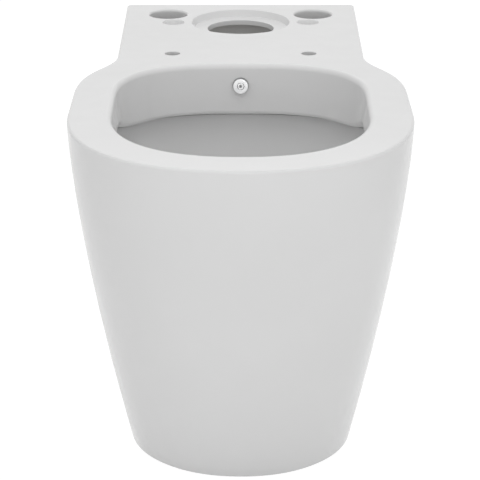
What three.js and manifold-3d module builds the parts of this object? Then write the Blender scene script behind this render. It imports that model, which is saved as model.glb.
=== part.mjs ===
// Close-coupled back-to-wall toilet pan with a built-in bidet jet.
// Millimetres, +Z up, the front of the bowl towards -Y, the wall face towards +Y.
// The origin is on the floor, in the middle of the footprint.

import * as THREE from "three";
import { mergeVertices } from "three/addons/utils/BufferGeometryUtils.js";
import Module from "manifold-3d";

const wasm = await Module();
wasm.setup();

// Ceramic pan: overall sizes and wall thicknesses
const PAN_WIDTH = 359.3;
const PAN_LENGTH = 670;
const PAN_HEIGHT = 400;
const WALL = 11;
const TOP_PLATE = 14;
const EDGE_RADIUS = 3;
const FOOT_WIDTH = 15;
const FOOT_HEIGHT = 12;
const FOOT_CHAMFER = 2;

// Plan of the rim and deck. Distances are measured forward from the wall face.
const NOSE_LENGTH = 196.3;
const NOSE_EXPONENT = 2.25;
const DECK_WIDTH = 278.5;
const SHOULDER_WIDTH = 357.7;
const SHOULDER_REAR = 238.8;
const SHOULDER_FRONT = 395.8;
const SHOULDER_REAR_PULL = 59.8;
const SHOULDER_FRONT_PULL = 97.8;
const REAR_CORNER_RADIUS = 4;

// Plan of the foot on the floor
const BASE_WIDTH = 245;
const BASE_LENGTH = 508;
const BASE_NOSE_LENGTH = 131.3;
const BASE_NOSE_EXPONENT = 2.09;
const BASE_SHOULDER_FRONT = 318;
const BASE_PULL = 21.5;
const TAPER_EXPONENT = 1.34;

// Mouth of the bowl, the box rim round it and the water channel inside the rim
const RIM_WIDTH = 52;
const MOUTH_WIDTH = 267;
const MOUTH_NOSE_LENGTH = 154;
const MOUTH_NOSE_EXPONENT = 2.32;
const MOUTH_REAR = 280.5;
const MOUTH_REAR_LENGTH = 120;
const MOUTH_REAR_EXPONENT = 2.66;
const MOUTH_EDGE_RADIUS = 6.5;
const REAR_WALL_DROP = 57.6;
const SIDE_WALL_DROP = 28.5;
const LIP_BLEND_REAR = 313;
const LIP_BLEND_FRONT = 441;
const LIP_RADIUS = 4.5;
const WALL_LEAN = 4;
const LIP_THICKNESS = 9;
const CHANNEL_REACH = 28;
const CHANNEL_FLOOR_RISE = 9;
const CHANNEL_EDGE_DROP = 5;
const UNDERCUT = 14;

// Bowl below the rim and the trap it drains into
const SUMP_CENTRE = 392;
const SUMP_RADIUS = 42;
const SUMP_TOP = 110;
const SUMP_FLOOR = 56;
const BOWL_EXPONENT = 1.3;
const TRAP_BORE = 72;
const SPIGOT_DIAMETER = 102;
const SPIGOT_LENGTH = 55;
const SPIGOT_SETBACK = 15;
const SPIGOT_HEIGHT = 180;
const TRAP_CREST = 222;
const TRAP_CREST_DISTANCE = 225;
const TRAP_ENTRY = 92;

// Hollow under the deck and the opening in the back of the skirt
const HOLLOW_FRONT_DROP = 67;
const DECK_HOLLOW_FRONT = 243;
const WINDOW_WIDTH = 184;
const WINDOW_FLOOR = 42;
const WINDOW_DROP = 100;
const WINDOW_RADIUS = 45;

// Deck holes, with distances from the wall face
const INLET_DISTANCE = 85;
const RECESS_DIAMETER = 117;
const RECESS_FLOOR_DIAMETER = 111;
const RECESS_DEPTH = 8;
const INLET_DIAMETER = 78.5;
const FIXING_HOLE_DIAMETER = 46;
const FIXING_HOLE_SPACING = 175;
const FIXING_HOLE_DISTANCE = 47.5;
const BLIND_DIAMETER = 27;
const BLIND_FLOOR_DIAMETER = 19;
const BLIND_SPACING = 160.5;
const BLIND_DISTANCE = 88.5;
const BLIND_DEPTH = 5;
const HINGE_HOLE_DIAMETER = 17;
const HINGE_HOLE_SPACING = 155;
const HINGE_HOLE_DISTANCE = 232;

// Inlet chamber under the cistern hole and the two ducts that feed the rim channel
const CHAMBER_DIAMETER = 96;
const CHAMBER_DEPTH = 83;
const DUCT_BORE = 34;
const DUCT_WALL = 9;
const DUCT_START_HALF = 26;
const DUCT_END_HALF = 40;
const DUCT_START_DISTANCE = 108;
const DUCT_MIDDLE_DISTANCE = 185;
const DUCT_END_DISTANCE = 262;
const DUCT_START_DROP = 56;
const DUCT_END_DROP = 38;

// Bidet jet
const JET_DROP = 24.1;
const JET_HOLE = 13.5;
const JET_PAD = 21;
const JET_BOSS_WIDTH = 34;
const JET_BOSS_DEPTH = 48;
const JET_SILL_RISE = 4;
const FLANGE_DIAMETER = 18.6;
const FLANGE_THICKNESS = 3;
const FLANGE_ROUND = 0.9;
const INSERT_DIAMETER = 8.7;
const INSERT_DEPTH = 7;
const ORIFICE_DIAMETER = 3.6;
const ORIFICE_THROAT = 2.2;
const SHANK_DIAMETER = 12;
const SHANK_BORE = 7;
const SHANK_LENGTH = 74;
const SEAL_THICKNESS = 1.6;
const SEAL_WIDTH = 17;
const REAR_SEAL_WIDTH = 20;
const SLIP_WASHER_THICKNESS = 1.5;
const BACKNUT_ACROSS_FLATS = 19;
const BACKNUT_HEIGHT = 8;
const CONE_NUT_ACROSS_FLATS = 17;
const CONE_NUT_HEIGHT = 16;
const CONE_NUT_SKIRT = 11;
const CONE_SEAL_HEIGHT = 2.4;

// Supply tube
const TUBE_DIAMETER = 10;
const TUBE_WALL = 1;
const TUBE_BEND = 20;
const TUBE_BACK = 179;
const TUBE_DROP = 94;
const VALVE_OFFSET = 80;

// Non-return valve. Heights are above its lower, inlet end.
const VALVE_HANG = 100;
const VALVE_LENGTH = 68;
const INLET_THREAD = 20.6;
const INLET_LENGTH = 16;
const VALVE_ACROSS_FLATS = 24;
const VALVE_HEX_TOP = 52;
const OUTLET_THREAD = 17;
const CHAMBER_BORE = 14.4;
const CHAMBER_TOP = 46;
const PORT_BORE = 8;
const SOCKET_DEPTH = 12;
const SEAT_BOTTOM = 10;
const SEAT_HEIGHT = 7.9;
const SEAT_BORE = 7.6;
const SEAL_RING_WIRE = 1.5;
const POPPET_DIAMETER = 11.2;
const POPPET_THICKNESS = 2.5;
const POPPET_STEM = 3;
const STEM_OVERHANG = 1;
const GUIDE_THICKNESS = 3;
const GUIDE_PORT = 2.6;
const SPRING_DIAMETER = 7.4;
const SPRING_WIRE = 0.8;
const SPRING_TURNS = 5;
const VALVE_NUT_ACROSS_FLATS = 22;
const VALVE_NUT_HEIGHT = 15;
const VALVE_NUT_SKIRT = 11;
const OLIVE_HEIGHT = 3.4;

// Floor fixings at the rear of the skirt, one set each side
const FIXING_DISTANCE = 120;
const FIXING_HEIGHT = 45;
const SIDE_HOLE = 16;
const SPOT_FACE = 25;
const SPOT_DEPTH = 2;
const BUSH_FLANGE = 20;
const BUSH_FLANGE_THICKNESS = 1.5;
const SCREW_DIAMETER = 6;
const SCREW_LENGTH = 34;
const SCREW_HEAD = 12;
const SCREW_HEAD_HEIGHT = 3.6;
const SCREW_SLOT = 1.6;
const SCREW_SLOT_DEPTH = 1.8;
const CAP_DIAMETER = 24;
const CAP_HEIGHT = 8;
const CAP_WALL = 1.4;
const BRACKET_WIDTH = 34;
const BRACKET_HEIGHT = 62;
const BRACKET_FOOT = 46;
const BRACKET_PLATE = 4;
const BRACKET_SLOT = 9;
const BRACKET_SLOT_LENGTH = 22;
const BRACKET_RIB = 24;
const BRACKET_BOSS = 14;
const BRACKET_BOSS_LENGTH = 12;

// Clearances shared by every fit, and the overrun of every cut
const GAP = 0.3;
const CUT = 2;
const MERGE = 0.0003;

// Heights that hang from the rim
const HOLLOW_FRONT_TOP = PAN_HEIGHT - HOLLOW_FRONT_DROP;
const WINDOW_TOP = PAN_HEIGHT - WINDOW_DROP;
const JET_HEIGHT = PAN_HEIGHT - JET_DROP;
const TUBE_LEVEL = PAN_HEIGHT - TUBE_DROP;
const VALVE_BASE = TUBE_LEVEL - VALVE_HANG;

// Facet counts
const NOSE_STEPS = 10;
const SIDE_STEPS = 2;
const SHOULDER_STEPS = 5;
const DECK_STEPS = 1;
const MOUTH_STEPS = 9;
const MOUTH_FLANK_STEPS = 4;
const TRAP_STEPS = 14;
const TRAP_QUARTER_STEPS = 6;
const DUCT_STEPS = 4;
const TUBE_STEPS = 24;
const ROUND_STEPS = 24;
const SMALL_STEPS = 16;

// Materials
const china = new THREE.MeshStandardMaterial({ color: 0xf1f1f0, roughness: 0.12, metalness: 0 });
const chrome = new THREE.MeshStandardMaterial({ color: 0xd8dadc, roughness: 0.12, metalness: 1 });
const brass = new THREE.MeshStandardMaterial({ color: 0xb9964e, roughness: 0.35, metalness: 1 });
const copper = new THREE.MeshStandardMaterial({ color: 0xb87345, roughness: 0.35, metalness: 1 });
const steel = new THREE.MeshStandardMaterial({ color: 0x9a9da0, roughness: 0.4, metalness: 1 });
const rubber = new THREE.MeshStandardMaterial({ color: 0x222222, roughness: 0.8, metalness: 0 });
const nylon = new THREE.MeshStandardMaterial({ color: 0xe9e9e6, roughness: 0.5, metalness: 0 });

// A three.js geometry as a closed solid, its shared corners merged and its flat triangles dropped.
function solid(geometry) {
  const bare = geometry.clone();
  bare.deleteAttribute("normal");
  bare.deleteAttribute("uv");
  const merged = mergeVertices(bare, MERGE);
  const index = [];
  for (let i = 0; i < merged.index.count; i += 3) {
    const corners = [merged.index.getX(i), merged.index.getX(i + 1), merged.index.getX(i + 2)];
    if (new Set(corners).size === 3) index.push(...corners);
  }
  const mesh = new wasm.Mesh({
    numProp: 3,
    vertProperties: new Float32Array(merged.attributes.position.array),
    triVerts: new Uint32Array(index),
  });
  return new wasm.Manifold(mesh);
}

// The solid back as a three.js geometry.
function geometryOf(body) {
  const mesh = body.getMesh();
  const geometry = new THREE.BufferGeometry();
  geometry.setAttribute("position", new THREE.BufferAttribute(mesh.vertProperties, 3));
  geometry.setIndex(new THREE.BufferAttribute(mesh.triVerts, 1));
  geometry.computeVertexNormals();
  return geometry;
}

// A turned piece round Z, from (radius, height) points listed anticlockwise in that plane.
function turned(points, steps = SMALL_STEPS) {
  const profile = points.map(([radius, height]) => new THREE.Vector2(radius, height));
  profile.push(profile[0].clone());
  const lathe = new THREE.LatheGeometry(profile, steps);
  lathe.rotateX(Math.PI / 2);
  return solid(lathe);
}

// A rod or round cutter between two heights on the Z axis.
function rod(radius, bottom, top, steps = SMALL_STEPS, topRadius = radius) {
  return turned([[0, bottom], [radius, bottom], [topRadius, top], [0, top]], steps);
}

// A plain ring on the Z axis.
function ring(inner, outer, bottom, top, steps = SMALL_STEPS) {
  return turned([[inner, bottom], [outer, bottom], [outer, top], [inner, top]], steps);
}

// A block between two corners.
function block(low, high) {
  const size = new THREE.Vector3(...high).sub(new THREE.Vector3(...low));
  const geometry = new THREE.BoxGeometry(size.x, size.y, size.z);
  geometry.translate(low[0] + size.x / 2, low[1] + size.y / 2, low[2] + size.z / 2);
  return solid(geometry);
}

// A hexagon prism on the Z axis with its corners chamfered at both ends.
function hexagon(acrossFlats, bottom, top) {
  const corner = acrossFlats / Math.sqrt(3);
  const shape = new THREE.Shape();
  for (let i = 0; i < 6; i += 1) {
    const angle = (i * Math.PI) / 3;
    const method = i === 0 ? "moveTo" : "lineTo";
    shape[method](corner * Math.cos(angle), corner * Math.sin(angle));
  }
  const prism = new THREE.ExtrudeGeometry(shape, { depth: top - bottom, bevelEnabled: false });
  prism.translate(0, 0, bottom);
  const slope = corner - acrossFlats / 2;
  const barrel = turned([
    [0, bottom], [acrossFlats / 2, bottom], [corner, bottom + slope],
    [corner, top - slope], [acrossFlats / 2, top], [0, top],
  ]);
  return solid(prism).intersect(barrel);
}

// A solid moved by a three.js matrix.
function placed(body, matrix) {
  const geometry = geometryOf(body);
  geometry.applyMatrix4(matrix);
  return solid(geometry);
}

function moved(body, x, y, z) {
  return placed(body, new THREE.Matrix4().makeTranslation(x, y, z));
}

// A round tube or rod swept along a curve.
function swept(curve, radius, steps, sides, bore = 0) {
  const shape = new THREE.Shape();
  shape.absarc(0, 0, radius, 0, 2 * Math.PI, false);
  if (bore > 0) {
    const hole = new THREE.Path();
    hole.absarc(0, 0, bore, 0, 2 * Math.PI, false);
    shape.holes.push(hole);
  }
  const options = { steps, curveSegments: sides, bevelEnabled: false, extrudePath: curve };
  return solid(new THREE.ExtrudeGeometry(shape, options));
}

// Straight runs joined by round bends of one radius.
function bentPath(corners, radius) {
  const path = new THREE.CurvePath();
  let start = corners[0];
  for (let i = 1; i < corners.length - 1; i += 1) {
    const back = corners[i - 1].clone().sub(corners[i]).normalize();
    const on = corners[i + 1].clone().sub(corners[i]).normalize();
    const reach = radius / Math.tan(back.angleTo(on) / 2);
    const bendStart = corners[i].clone().addScaledVector(back, reach);
    const bendEnd = corners[i].clone().addScaledVector(on, reach);
    path.add(new THREE.LineCurve3(start, bendStart));
    path.add(new THREE.QuadraticBezierCurve3(bendStart, corners[i], bendEnd));
    start = bendEnd;
  }
  path.add(new THREE.LineCurve3(start, corners[corners.length - 1]));
  return path;
}

// Y of a place that lies a distance forward of the wall face.
function fromWall(distance) {
  return PAN_LENGTH / 2 - distance;
}

function smooth(value, low, high) {
  return THREE.MathUtils.smoothstep(value, low, high);
}

// A solid skinned over rings of points, listed from the lowest ring to the highest.
function loft(rings) {
  const count = rings[0].length;
  const points = rings.flat();
  const last = (rings.length - 1) * count;
  const centre = (list) => list.reduce((sum, p) => sum.add(p), new THREE.Vector3())
    .divideScalar(list.length);
  const low = points.length;
  const high = points.length + 1;
  points.push(centre(rings[0]), centre(rings[rings.length - 1]));
  const index = [];
  for (let j = 0; j < count; j += 1) {
    const k = (j + 1) % count;
    for (let i = 0; i < last; i += count) {
      index.push(i + j, i + k, i + count + k, i + j, i + count + k, i + count + j);
    }
    index.push(low, k, j, high, last + j, last + k);
  }
  return indexed(points, index);
}

// A closed ring whose section at each place round it is a list of points.
function hoop(sections) {
  const size = sections[0].length;
  const points = sections.flat();
  const index = [];
  sections.forEach((_, i) => {
    const next = ((i + 1) % sections.length) * size;
    for (let j = 0; j < size; j += 1) {
      const a = i * size + j;
      const b = i * size + ((j + 1) % size);
      const c = next + ((j + 1) % size);
      const d = next + j;
      index.push(a, c, b, a, d, c);
    }
  });
  return indexed(points, index);
}

function indexed(points, index) {
  const geometry = new THREE.BufferGeometry();
  geometry.setFromPoints(points);
  geometry.setIndex(index);
  return solid(geometry);
}

// Mirrors a half outline, front tip to rear middle, into a full anticlockwise ring of plan points.
function mirrored(half) {
  const other = half.slice(1, -1).reverse().map((p) => new THREE.Vector2(-p.x, p.y));
  return [...half, ...other];
}

// A quarter of a squared ellipse in plan, from its tip on the middle line to its full half width.
function quarter(half, centre, reach, exponent, steps) {
  const power = 2 / exponent;
  return Array.from({ length: steps + 1 }, (_, i) => {
    const angle = (1 - i / steps) * (Math.PI / 2);
    const x = i === 0 ? 0 : half * Math.cos(angle) ** power;
    return new THREE.Vector2(x, centre + reach * Math.sin(angle) ** power);
  });
}

// Half of the body's plan as (x, distance from the wall), drawn in by a wall thickness.
function planHalf(plan, inset) {
  const side = plan.width / 2 - inset;
  const shoulder = plan.shoulderWidth / 2 - inset;
  const deck = plan.deckWidth / 2 - inset;
  const noseCentre = plan.length - plan.noseLength;
  const corner = REAR_CORNER_RADIUS;
  const flank = new THREE.LineCurve(
    new THREE.Vector2(side, noseCentre), new THREE.Vector2(shoulder, plan.shoulderFront),
  );
  const waist = new THREE.CubicBezierCurve(
    new THREE.Vector2(shoulder, plan.shoulderFront),
    new THREE.Vector2(shoulder, plan.shoulderFront - plan.frontPull),
    new THREE.Vector2(deck, plan.shoulderRear + plan.rearPull),
    new THREE.Vector2(deck, plan.shoulderRear),
  );
  const deckSide = new THREE.LineCurve(
    new THREE.Vector2(deck, plan.shoulderRear), new THREE.Vector2(deck, inset + corner),
  );
  const rear = new THREE.EllipseCurve(
    deck - corner, inset + corner, corner, corner, 0, -Math.PI / 2, true,
  );
  return [
    ...quarter(side, noseCentre, plan.noseLength - inset, plan.noseExponent, NOSE_STEPS),
    ...flank.getPoints(SIDE_STEPS).slice(1),
    ...waist.getPoints(SHOULDER_STEPS).slice(1),
    ...deckSide.getPoints(DECK_STEPS).slice(1),
    ...rear.getPoints(2).slice(1),
    new THREE.Vector2(0, inset),
  ];
}

const TOP_PLAN = {
  width: PAN_WIDTH,
  length: PAN_LENGTH,
  noseLength: NOSE_LENGTH,
  noseExponent: NOSE_EXPONENT,
  shoulderWidth: SHOULDER_WIDTH,
  shoulderFront: SHOULDER_FRONT,
  frontPull: SHOULDER_FRONT_PULL,
  shoulderRear: SHOULDER_REAR,
  rearPull: SHOULDER_REAR_PULL,
  deckWidth: DECK_WIDTH,
};

const BASE_PLAN = {
  width: BASE_WIDTH,
  length: BASE_LENGTH,
  noseLength: BASE_NOSE_LENGTH,
  noseExponent: BASE_NOSE_EXPONENT,
  shoulderWidth: BASE_WIDTH,
  shoulderFront: BASE_SHOULDER_FRONT,
  frontPull: BASE_PULL,
  shoulderRear: SHOULDER_REAR,
  rearPull: BASE_PULL,
  deckWidth: BASE_WIDTH,
};

// How far the skirt has drawn in from the rim's plan, 0, to the foot's plan, 1.
function taper(height) {
  const start = PAN_HEIGHT - EDGE_RADIUS;
  const drop = THREE.MathUtils.clamp((start - height) / start, 0, 1);
  return drop ** TAPER_EXPONENT;
}

// Ring of the body's outside at a height, drawn in by a wall thickness.
function bodyRing(height, inset, placedAt = height) {
  const base = planHalf(BASE_PLAN, inset);
  const half = planHalf(TOP_PLAN, inset).map((p, i) => p.lerp(base[i], taper(height)));
  return mirrored(half).map((p) => new THREE.Vector3(p.x, fromWall(p.y), placedAt));
}

// Half width of the rear skirt at a height.
function skirtHalf(height) {
  return THREE.MathUtils.lerp(DECK_WIDTH, BASE_WIDTH, taper(height)) / 2;
}

// Outside of the casting: foot chamfer, tapering skirt and rounded top edge.
function bodyShell() {
  const skirtShares = [0.13, 0.29, 0.45, 0.6, 0.74, 0.87];
  const edgeShares = [0.6, 1];
  const rings = [
    bodyRing(0, FOOT_CHAMFER),
    bodyRing(FOOT_CHAMFER, 0),
    ...skirtShares.map((share) => bodyRing(share * PAN_HEIGHT, 0)),
    bodyRing(PAN_HEIGHT - EDGE_RADIUS, 0),
    ...edgeShares.map((share) => {
      const inset = EDGE_RADIUS * (1 - Math.sqrt(1 - share * share));
      return bodyRing(PAN_HEIGHT - EDGE_RADIUS * (1 - share), inset);
    }),
  ];
  return loft(rings);
}

// Open hollow inside the skirt: to the underside of the deck behind the bowl, lower under the rim.
function skirtHollow() {
  const top = PAN_HEIGHT - TOP_PLATE;
  const heightShares = [0.28, 0.52, 0.76, 1];
  const rings = [
    bodyRing(0, FOOT_WIDTH, -CUT),
    bodyRing(FOOT_HEIGHT, FOOT_WIDTH),
    bodyRing(FOOT_HEIGHT + FOOT_WIDTH - WALL, WALL),
    ...heightShares.map((share) => bodyRing(share * top, WALL)),
  ];
  const rim = block(
    [-PAN_WIDTH, -PAN_LENGTH, HOLLOW_FRONT_TOP],
    [PAN_WIDTH, fromWall(DECK_HOLLOW_FRONT), PAN_HEIGHT],
  );
  return loft(rings).subtract(rim);
}

// Plan of the mouth's wall as (x, distance from the wall), with an outward normal at each point.
function mouthPlan() {
  const half = MOUTH_WIDTH / 2;
  const noseCentre = PAN_LENGTH - RIM_WIDTH - MOUTH_NOSE_LENGTH;
  const rearCentre = MOUTH_REAR + MOUTH_REAR_LENGTH;
  const nose = quarter(half, noseCentre, MOUTH_NOSE_LENGTH, MOUTH_NOSE_EXPONENT, MOUTH_STEPS);
  const rear = quarter(half, rearCentre, -MOUTH_REAR_LENGTH, MOUTH_REAR_EXPONENT, MOUTH_STEPS);
  const flank = new THREE.LineCurve(nose[MOUTH_STEPS], rear[MOUTH_STEPS]);
  const plan = mirrored([
    ...nose,
    ...flank.getPoints(MOUTH_FLANK_STEPS).slice(1, -1),
    ...rear.reverse(),
  ]);
  return plan.map((point, i) => {
    const before = plan[(i + plan.length - 1) % plan.length];
    const after = plan[(i + 1) % plan.length];
    const along = after.clone().sub(before).normalize();
    return { point, normal: new THREE.Vector2(-along.y, along.x) };
  });
}

// Height of the lower lip of the rim wall: deep at the rear, shallow at the sides and front.
function lipHeight(distance) {
  const share = smooth(distance, LIP_BLEND_REAR, LIP_BLEND_FRONT);
  return PAN_HEIGHT - THREE.MathUtils.lerp(REAR_WALL_DROP, SIDE_WALL_DROP, share);
}

// Ring of the mouth at an offset, with a height that may change round it.
function mouthRing(plan, offset, height) {
  return plan.map(({ point, normal }) => {
    const shifted = point.clone().addScaledVector(normal, offset);
    return new THREE.Vector3(shifted.x, fromWall(shifted.y), height(point.y));
  });
}

// Opening from the rounded top edge down the leaning wall to the rounded lip.
function mouthCut(plan) {
  const edgeShares = [0, 0.35, 0.7, 1];
  const rings = [
    mouthRing(plan, LIP_RADIUS - WALL_LEAN, (d) => lipHeight(d) - CUT * 2),
    mouthRing(plan, LIP_RADIUS - WALL_LEAN, lipHeight),
    mouthRing(plan, LIP_RADIUS * 0.3 - WALL_LEAN, (d) => lipHeight(d) + LIP_RADIUS * 0.3),
    mouthRing(plan, -WALL_LEAN, (d) => lipHeight(d) + LIP_RADIUS),
    ...edgeShares.map((share) => mouthRing(
      plan,
      MOUTH_EDGE_RADIUS * (1 - Math.sqrt(1 - share * share)),
      () => PAN_HEIGHT - MOUTH_EDGE_RADIUS * (1 - share),
    )),
    mouthRing(plan, MOUTH_EDGE_RADIUS, () => PAN_HEIGHT + CUT),
  ];
  return loft(rings);
}

// Water channel of the box rim, open to the bowl under the lip.
function rimChannel(plan) {
  const ceiling = PAN_HEIGHT - TOP_PLATE;
  const at = ({ point, normal }, offset, height) => {
    const shifted = point.clone().addScaledVector(normal, offset);
    return new THREE.Vector3(shifted.x, fromWall(shifted.y), height);
  };
  return hoop(plan.map((place) => {
    const lip = lipHeight(place.point.y);
    return [
      at(place, LIP_THICKNESS, lip - CHANNEL_EDGE_DROP),
      at(place, UNDERCUT, lip - CHANNEL_EDGE_DROP),
      at(place, CHANNEL_REACH, lip + CHANNEL_FLOOR_RISE),
      at(place, CHANNEL_REACH, ceiling),
      at(place, LIP_THICKNESS, ceiling),
    ];
  }));
}

// Bowl from the undercut below the lip to the round sump, thickened for its outside.
function bowlBody(plan, thickness) {
  const middle = (MOUTH_REAR + PAN_LENGTH - RIM_WIDTH) / 2;
  const fineShares = [1, 0.86, 0.72, 0.58, 0.44, 0.3, 0.16, 0.06, 0];
  const plainShares = [1, 0.7, 0.4, 0.15, 0];
  const stageShares = thickness > 0 ? plainShares : fineShares;
  const sumpShares = [[0.4, 0], [0.8, 0.6]];
  const sump = (radius, height) => plan.map(({ point }) => {
    const angle = Math.atan2(point.y - middle, point.x);
    const distance = SUMP_CENTRE + (radius + thickness) * Math.sin(angle);
    return new THREE.Vector3((radius + thickness) * Math.cos(angle), fromWall(distance), height);
  });
  const rim = mouthRing(plan, UNDERCUT + thickness, lipHeight);
  const full = sump(SUMP_RADIUS, SUMP_TOP);
  const floor = SUMP_FLOOR - thickness;
  const rings = [
    ...sumpShares.map(([size, rise]) => {
      return sump(SUMP_RADIUS * size, THREE.MathUtils.lerp(floor, SUMP_TOP, rise * rise));
    }),
    ...stageShares.map((stage) => {
      const draw = stage ** BOWL_EXPONENT;
      return rim.map((p, i) => {
        const ringPoint = p.clone().lerp(full[i], draw);
        ringPoint.z = THREE.MathUtils.lerp(p.z, SUMP_TOP, stage);
        return ringPoint;
      });
    }),
  ];
  return loft(rings);
}

// Centre line of the trap: out of the sump, up over the crest and back to the spigot.
function trapPath(overrun) {
  const places = [
    [SUMP_CENTRE, TRAP_ENTRY],
    [SUMP_CENTRE - SUMP_RADIUS, TRAP_ENTRY - CUT],
    [SUMP_CENTRE - SUMP_RADIUS * 2.4, TRAP_ENTRY + TRAP_BORE / 2],
    [TRAP_CREST_DISTANCE + TRAP_BORE / 4, TRAP_CREST - TRAP_BORE / 9],
    [TRAP_CREST_DISTANCE - TRAP_BORE / 3, TRAP_CREST],
    [SPIGOT_SETBACK + SPIGOT_LENGTH * 2, SPIGOT_HEIGHT + TRAP_BORE / 14],
    [SPIGOT_SETBACK + SPIGOT_LENGTH, SPIGOT_HEIGHT],
    [SPIGOT_SETBACK - overrun, SPIGOT_HEIGHT],
  ];
  const points = places.map(([distance, height]) => new THREE.Vector3(0, fromWall(distance), height));
  return new THREE.CatmullRomCurve3(points, false, "centripetal");
}

// Outlet spigot that the pan connector grips.
function spigot() {
  const barrel = rod(SPIGOT_DIAMETER / 2, 0, SPIGOT_LENGTH, ROUND_STEPS);
  const turn = new THREE.Matrix4().makeRotationX(Math.PI / 2);
  turn.setPosition(0, fromWall(SPIGOT_SETBACK), SPIGOT_HEIGHT);
  return placed(barrel, turn);
}

// Water chamber under the cistern inlet and its two ducts, as bores or as their outsides.
function inletWays(thickness) {
  const ceiling = PAN_HEIGHT - TOP_PLATE;
  const floor = PAN_HEIGHT - CHAMBER_DEPTH - thickness;
  const radius = CHAMBER_DIAMETER / 2 + thickness;
  const chamfer = DUCT_BORE / 2;
  const start = PAN_HEIGHT - DUCT_START_DROP;
  const end = PAN_HEIGHT - DUCT_END_DROP;
  let ways = moved(
    turned([[0, floor], [radius - chamfer, floor], [radius, floor + chamfer],
      [radius, ceiling], [0, ceiling]], ROUND_STEPS),
    0, fromWall(INLET_DISTANCE), 0,
  );
  for (const side of [-1, 1]) {
    const route = new THREE.CatmullRomCurve3([
      new THREE.Vector3(side * DUCT_START_HALF, fromWall(DUCT_START_DISTANCE), start),
      new THREE.Vector3(side * DUCT_END_HALF, fromWall(DUCT_MIDDLE_DISTANCE), (start + end) / 2),
      new THREE.Vector3(side * DUCT_END_HALF, fromWall(DUCT_END_DISTANCE), end),
    ]);
    ways = ways.add(swept(route, DUCT_BORE / 2 + thickness, DUCT_STEPS, DUCT_STEPS));
  }
  return ways;
}

// Frame of the bidet jet: origin on the rim wall, +Z out of the wall along the jet.
function jetFrame() {
  const top = PAN_HEIGHT - MOUTH_EDGE_RADIUS;
  const bottom = PAN_HEIGHT - REAR_WALL_DROP + LIP_RADIUS;
  const slope = WALL_LEAN / (top - bottom);
  const distance = MOUTH_REAR + (top - JET_HEIGHT) * slope;
  const frame = new THREE.Object3D();
  frame.position.set(0, fromWall(distance), JET_HEIGHT);
  frame.rotation.x = Math.PI / 2 - Math.atan(slope);
  frame.updateMatrix();
  return frame;
}

// Holes and recesses of the deck.
function deckCuts() {
  const top = PAN_HEIGHT + CUT;
  const floor = PAN_HEIGHT - TOP_PLATE - CUT;
  const recessFloor = PAN_HEIGHT - RECESS_DEPTH;
  const blindFloor = PAN_HEIGHT - BLIND_DEPTH;
  let cuts = turned([
    [0, floor], [INLET_DIAMETER / 2, floor], [INLET_DIAMETER / 2, recessFloor],
    [RECESS_FLOOR_DIAMETER / 2, recessFloor], [RECESS_DIAMETER / 2, PAN_HEIGHT],
    [RECESS_DIAMETER / 2, top], [0, top],
  ], ROUND_STEPS);
  cuts = moved(cuts, 0, fromWall(INLET_DISTANCE), 0);
  const fixing = rod(FIXING_HOLE_DIAMETER / 2, floor, top, ROUND_STEPS);
  const blind = turned([
    [0, blindFloor], [BLIND_FLOOR_DIAMETER / 2, blindFloor], [BLIND_DIAMETER / 2, PAN_HEIGHT],
    [BLIND_DIAMETER / 2, top], [0, top],
  ]);
  const hinge = rod(HINGE_HOLE_DIAMETER / 2, floor, top);
  for (const side of [-1, 1]) {
    cuts = cuts.add(moved(fixing, (side * FIXING_HOLE_SPACING) / 2, fromWall(FIXING_HOLE_DISTANCE), 0));
    cuts = cuts.add(moved(blind, (side * BLIND_SPACING) / 2, fromWall(BLIND_DISTANCE), 0));
    cuts = cuts.add(moved(hinge, (side * HINGE_HOLE_SPACING) / 2, fromWall(HINGE_HOLE_DISTANCE), 0));
  }
  return cuts;
}

// Opening in the back of the skirt, for the outlet and the supply.
function windowCut() {
  const half = WINDOW_WIDTH / 2;
  const shape = new THREE.Shape();
  shape.moveTo(-half, WINDOW_FLOOR);
  shape.lineTo(half, WINDOW_FLOOR);
  shape.lineTo(half, WINDOW_TOP - WINDOW_RADIUS);
  shape.absarc(half - WINDOW_RADIUS, WINDOW_TOP - WINDOW_RADIUS, WINDOW_RADIUS, 0, Math.PI / 2, false);
  shape.lineTo(WINDOW_RADIUS - half, WINDOW_TOP);
  shape.absarc(
    WINDOW_RADIUS - half, WINDOW_TOP - WINDOW_RADIUS, WINDOW_RADIUS, Math.PI / 2, Math.PI, false,
  );
  const depth = WALL + CUT * 2;
  const geometry = new THREE.ExtrudeGeometry(shape, { depth, curveSegments: 5, bevelEnabled: false });
  geometry.rotateX(Math.PI / 2);
  geometry.translate(0, fromWall(-CUT), 0);
  return solid(geometry);
}

// Frame of one side's floor fixing: origin on its spot face, +Z out of the skirt.
function fixingFrame(side) {
  const frame = new THREE.Object3D();
  const face = skirtHalf(FIXING_HEIGHT) - SPOT_DEPTH;
  frame.position.set(side * face, fromWall(FIXING_DISTANCE), FIXING_HEIGHT);
  frame.rotation.y = (side * Math.PI) / 2;
  frame.updateMatrix();
  return frame;
}

// Hole and spot face for one side's floor fixing.
function fixingCut(side) {
  const hole = rod(SIDE_HOLE / 2, -WALL - CUT, CUT);
  const spot = rod(SPOT_FACE / 2, 0, SPOT_DEPTH + CUT);
  return placed(hole.add(spot), fixingFrame(side).matrix);
}

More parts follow.
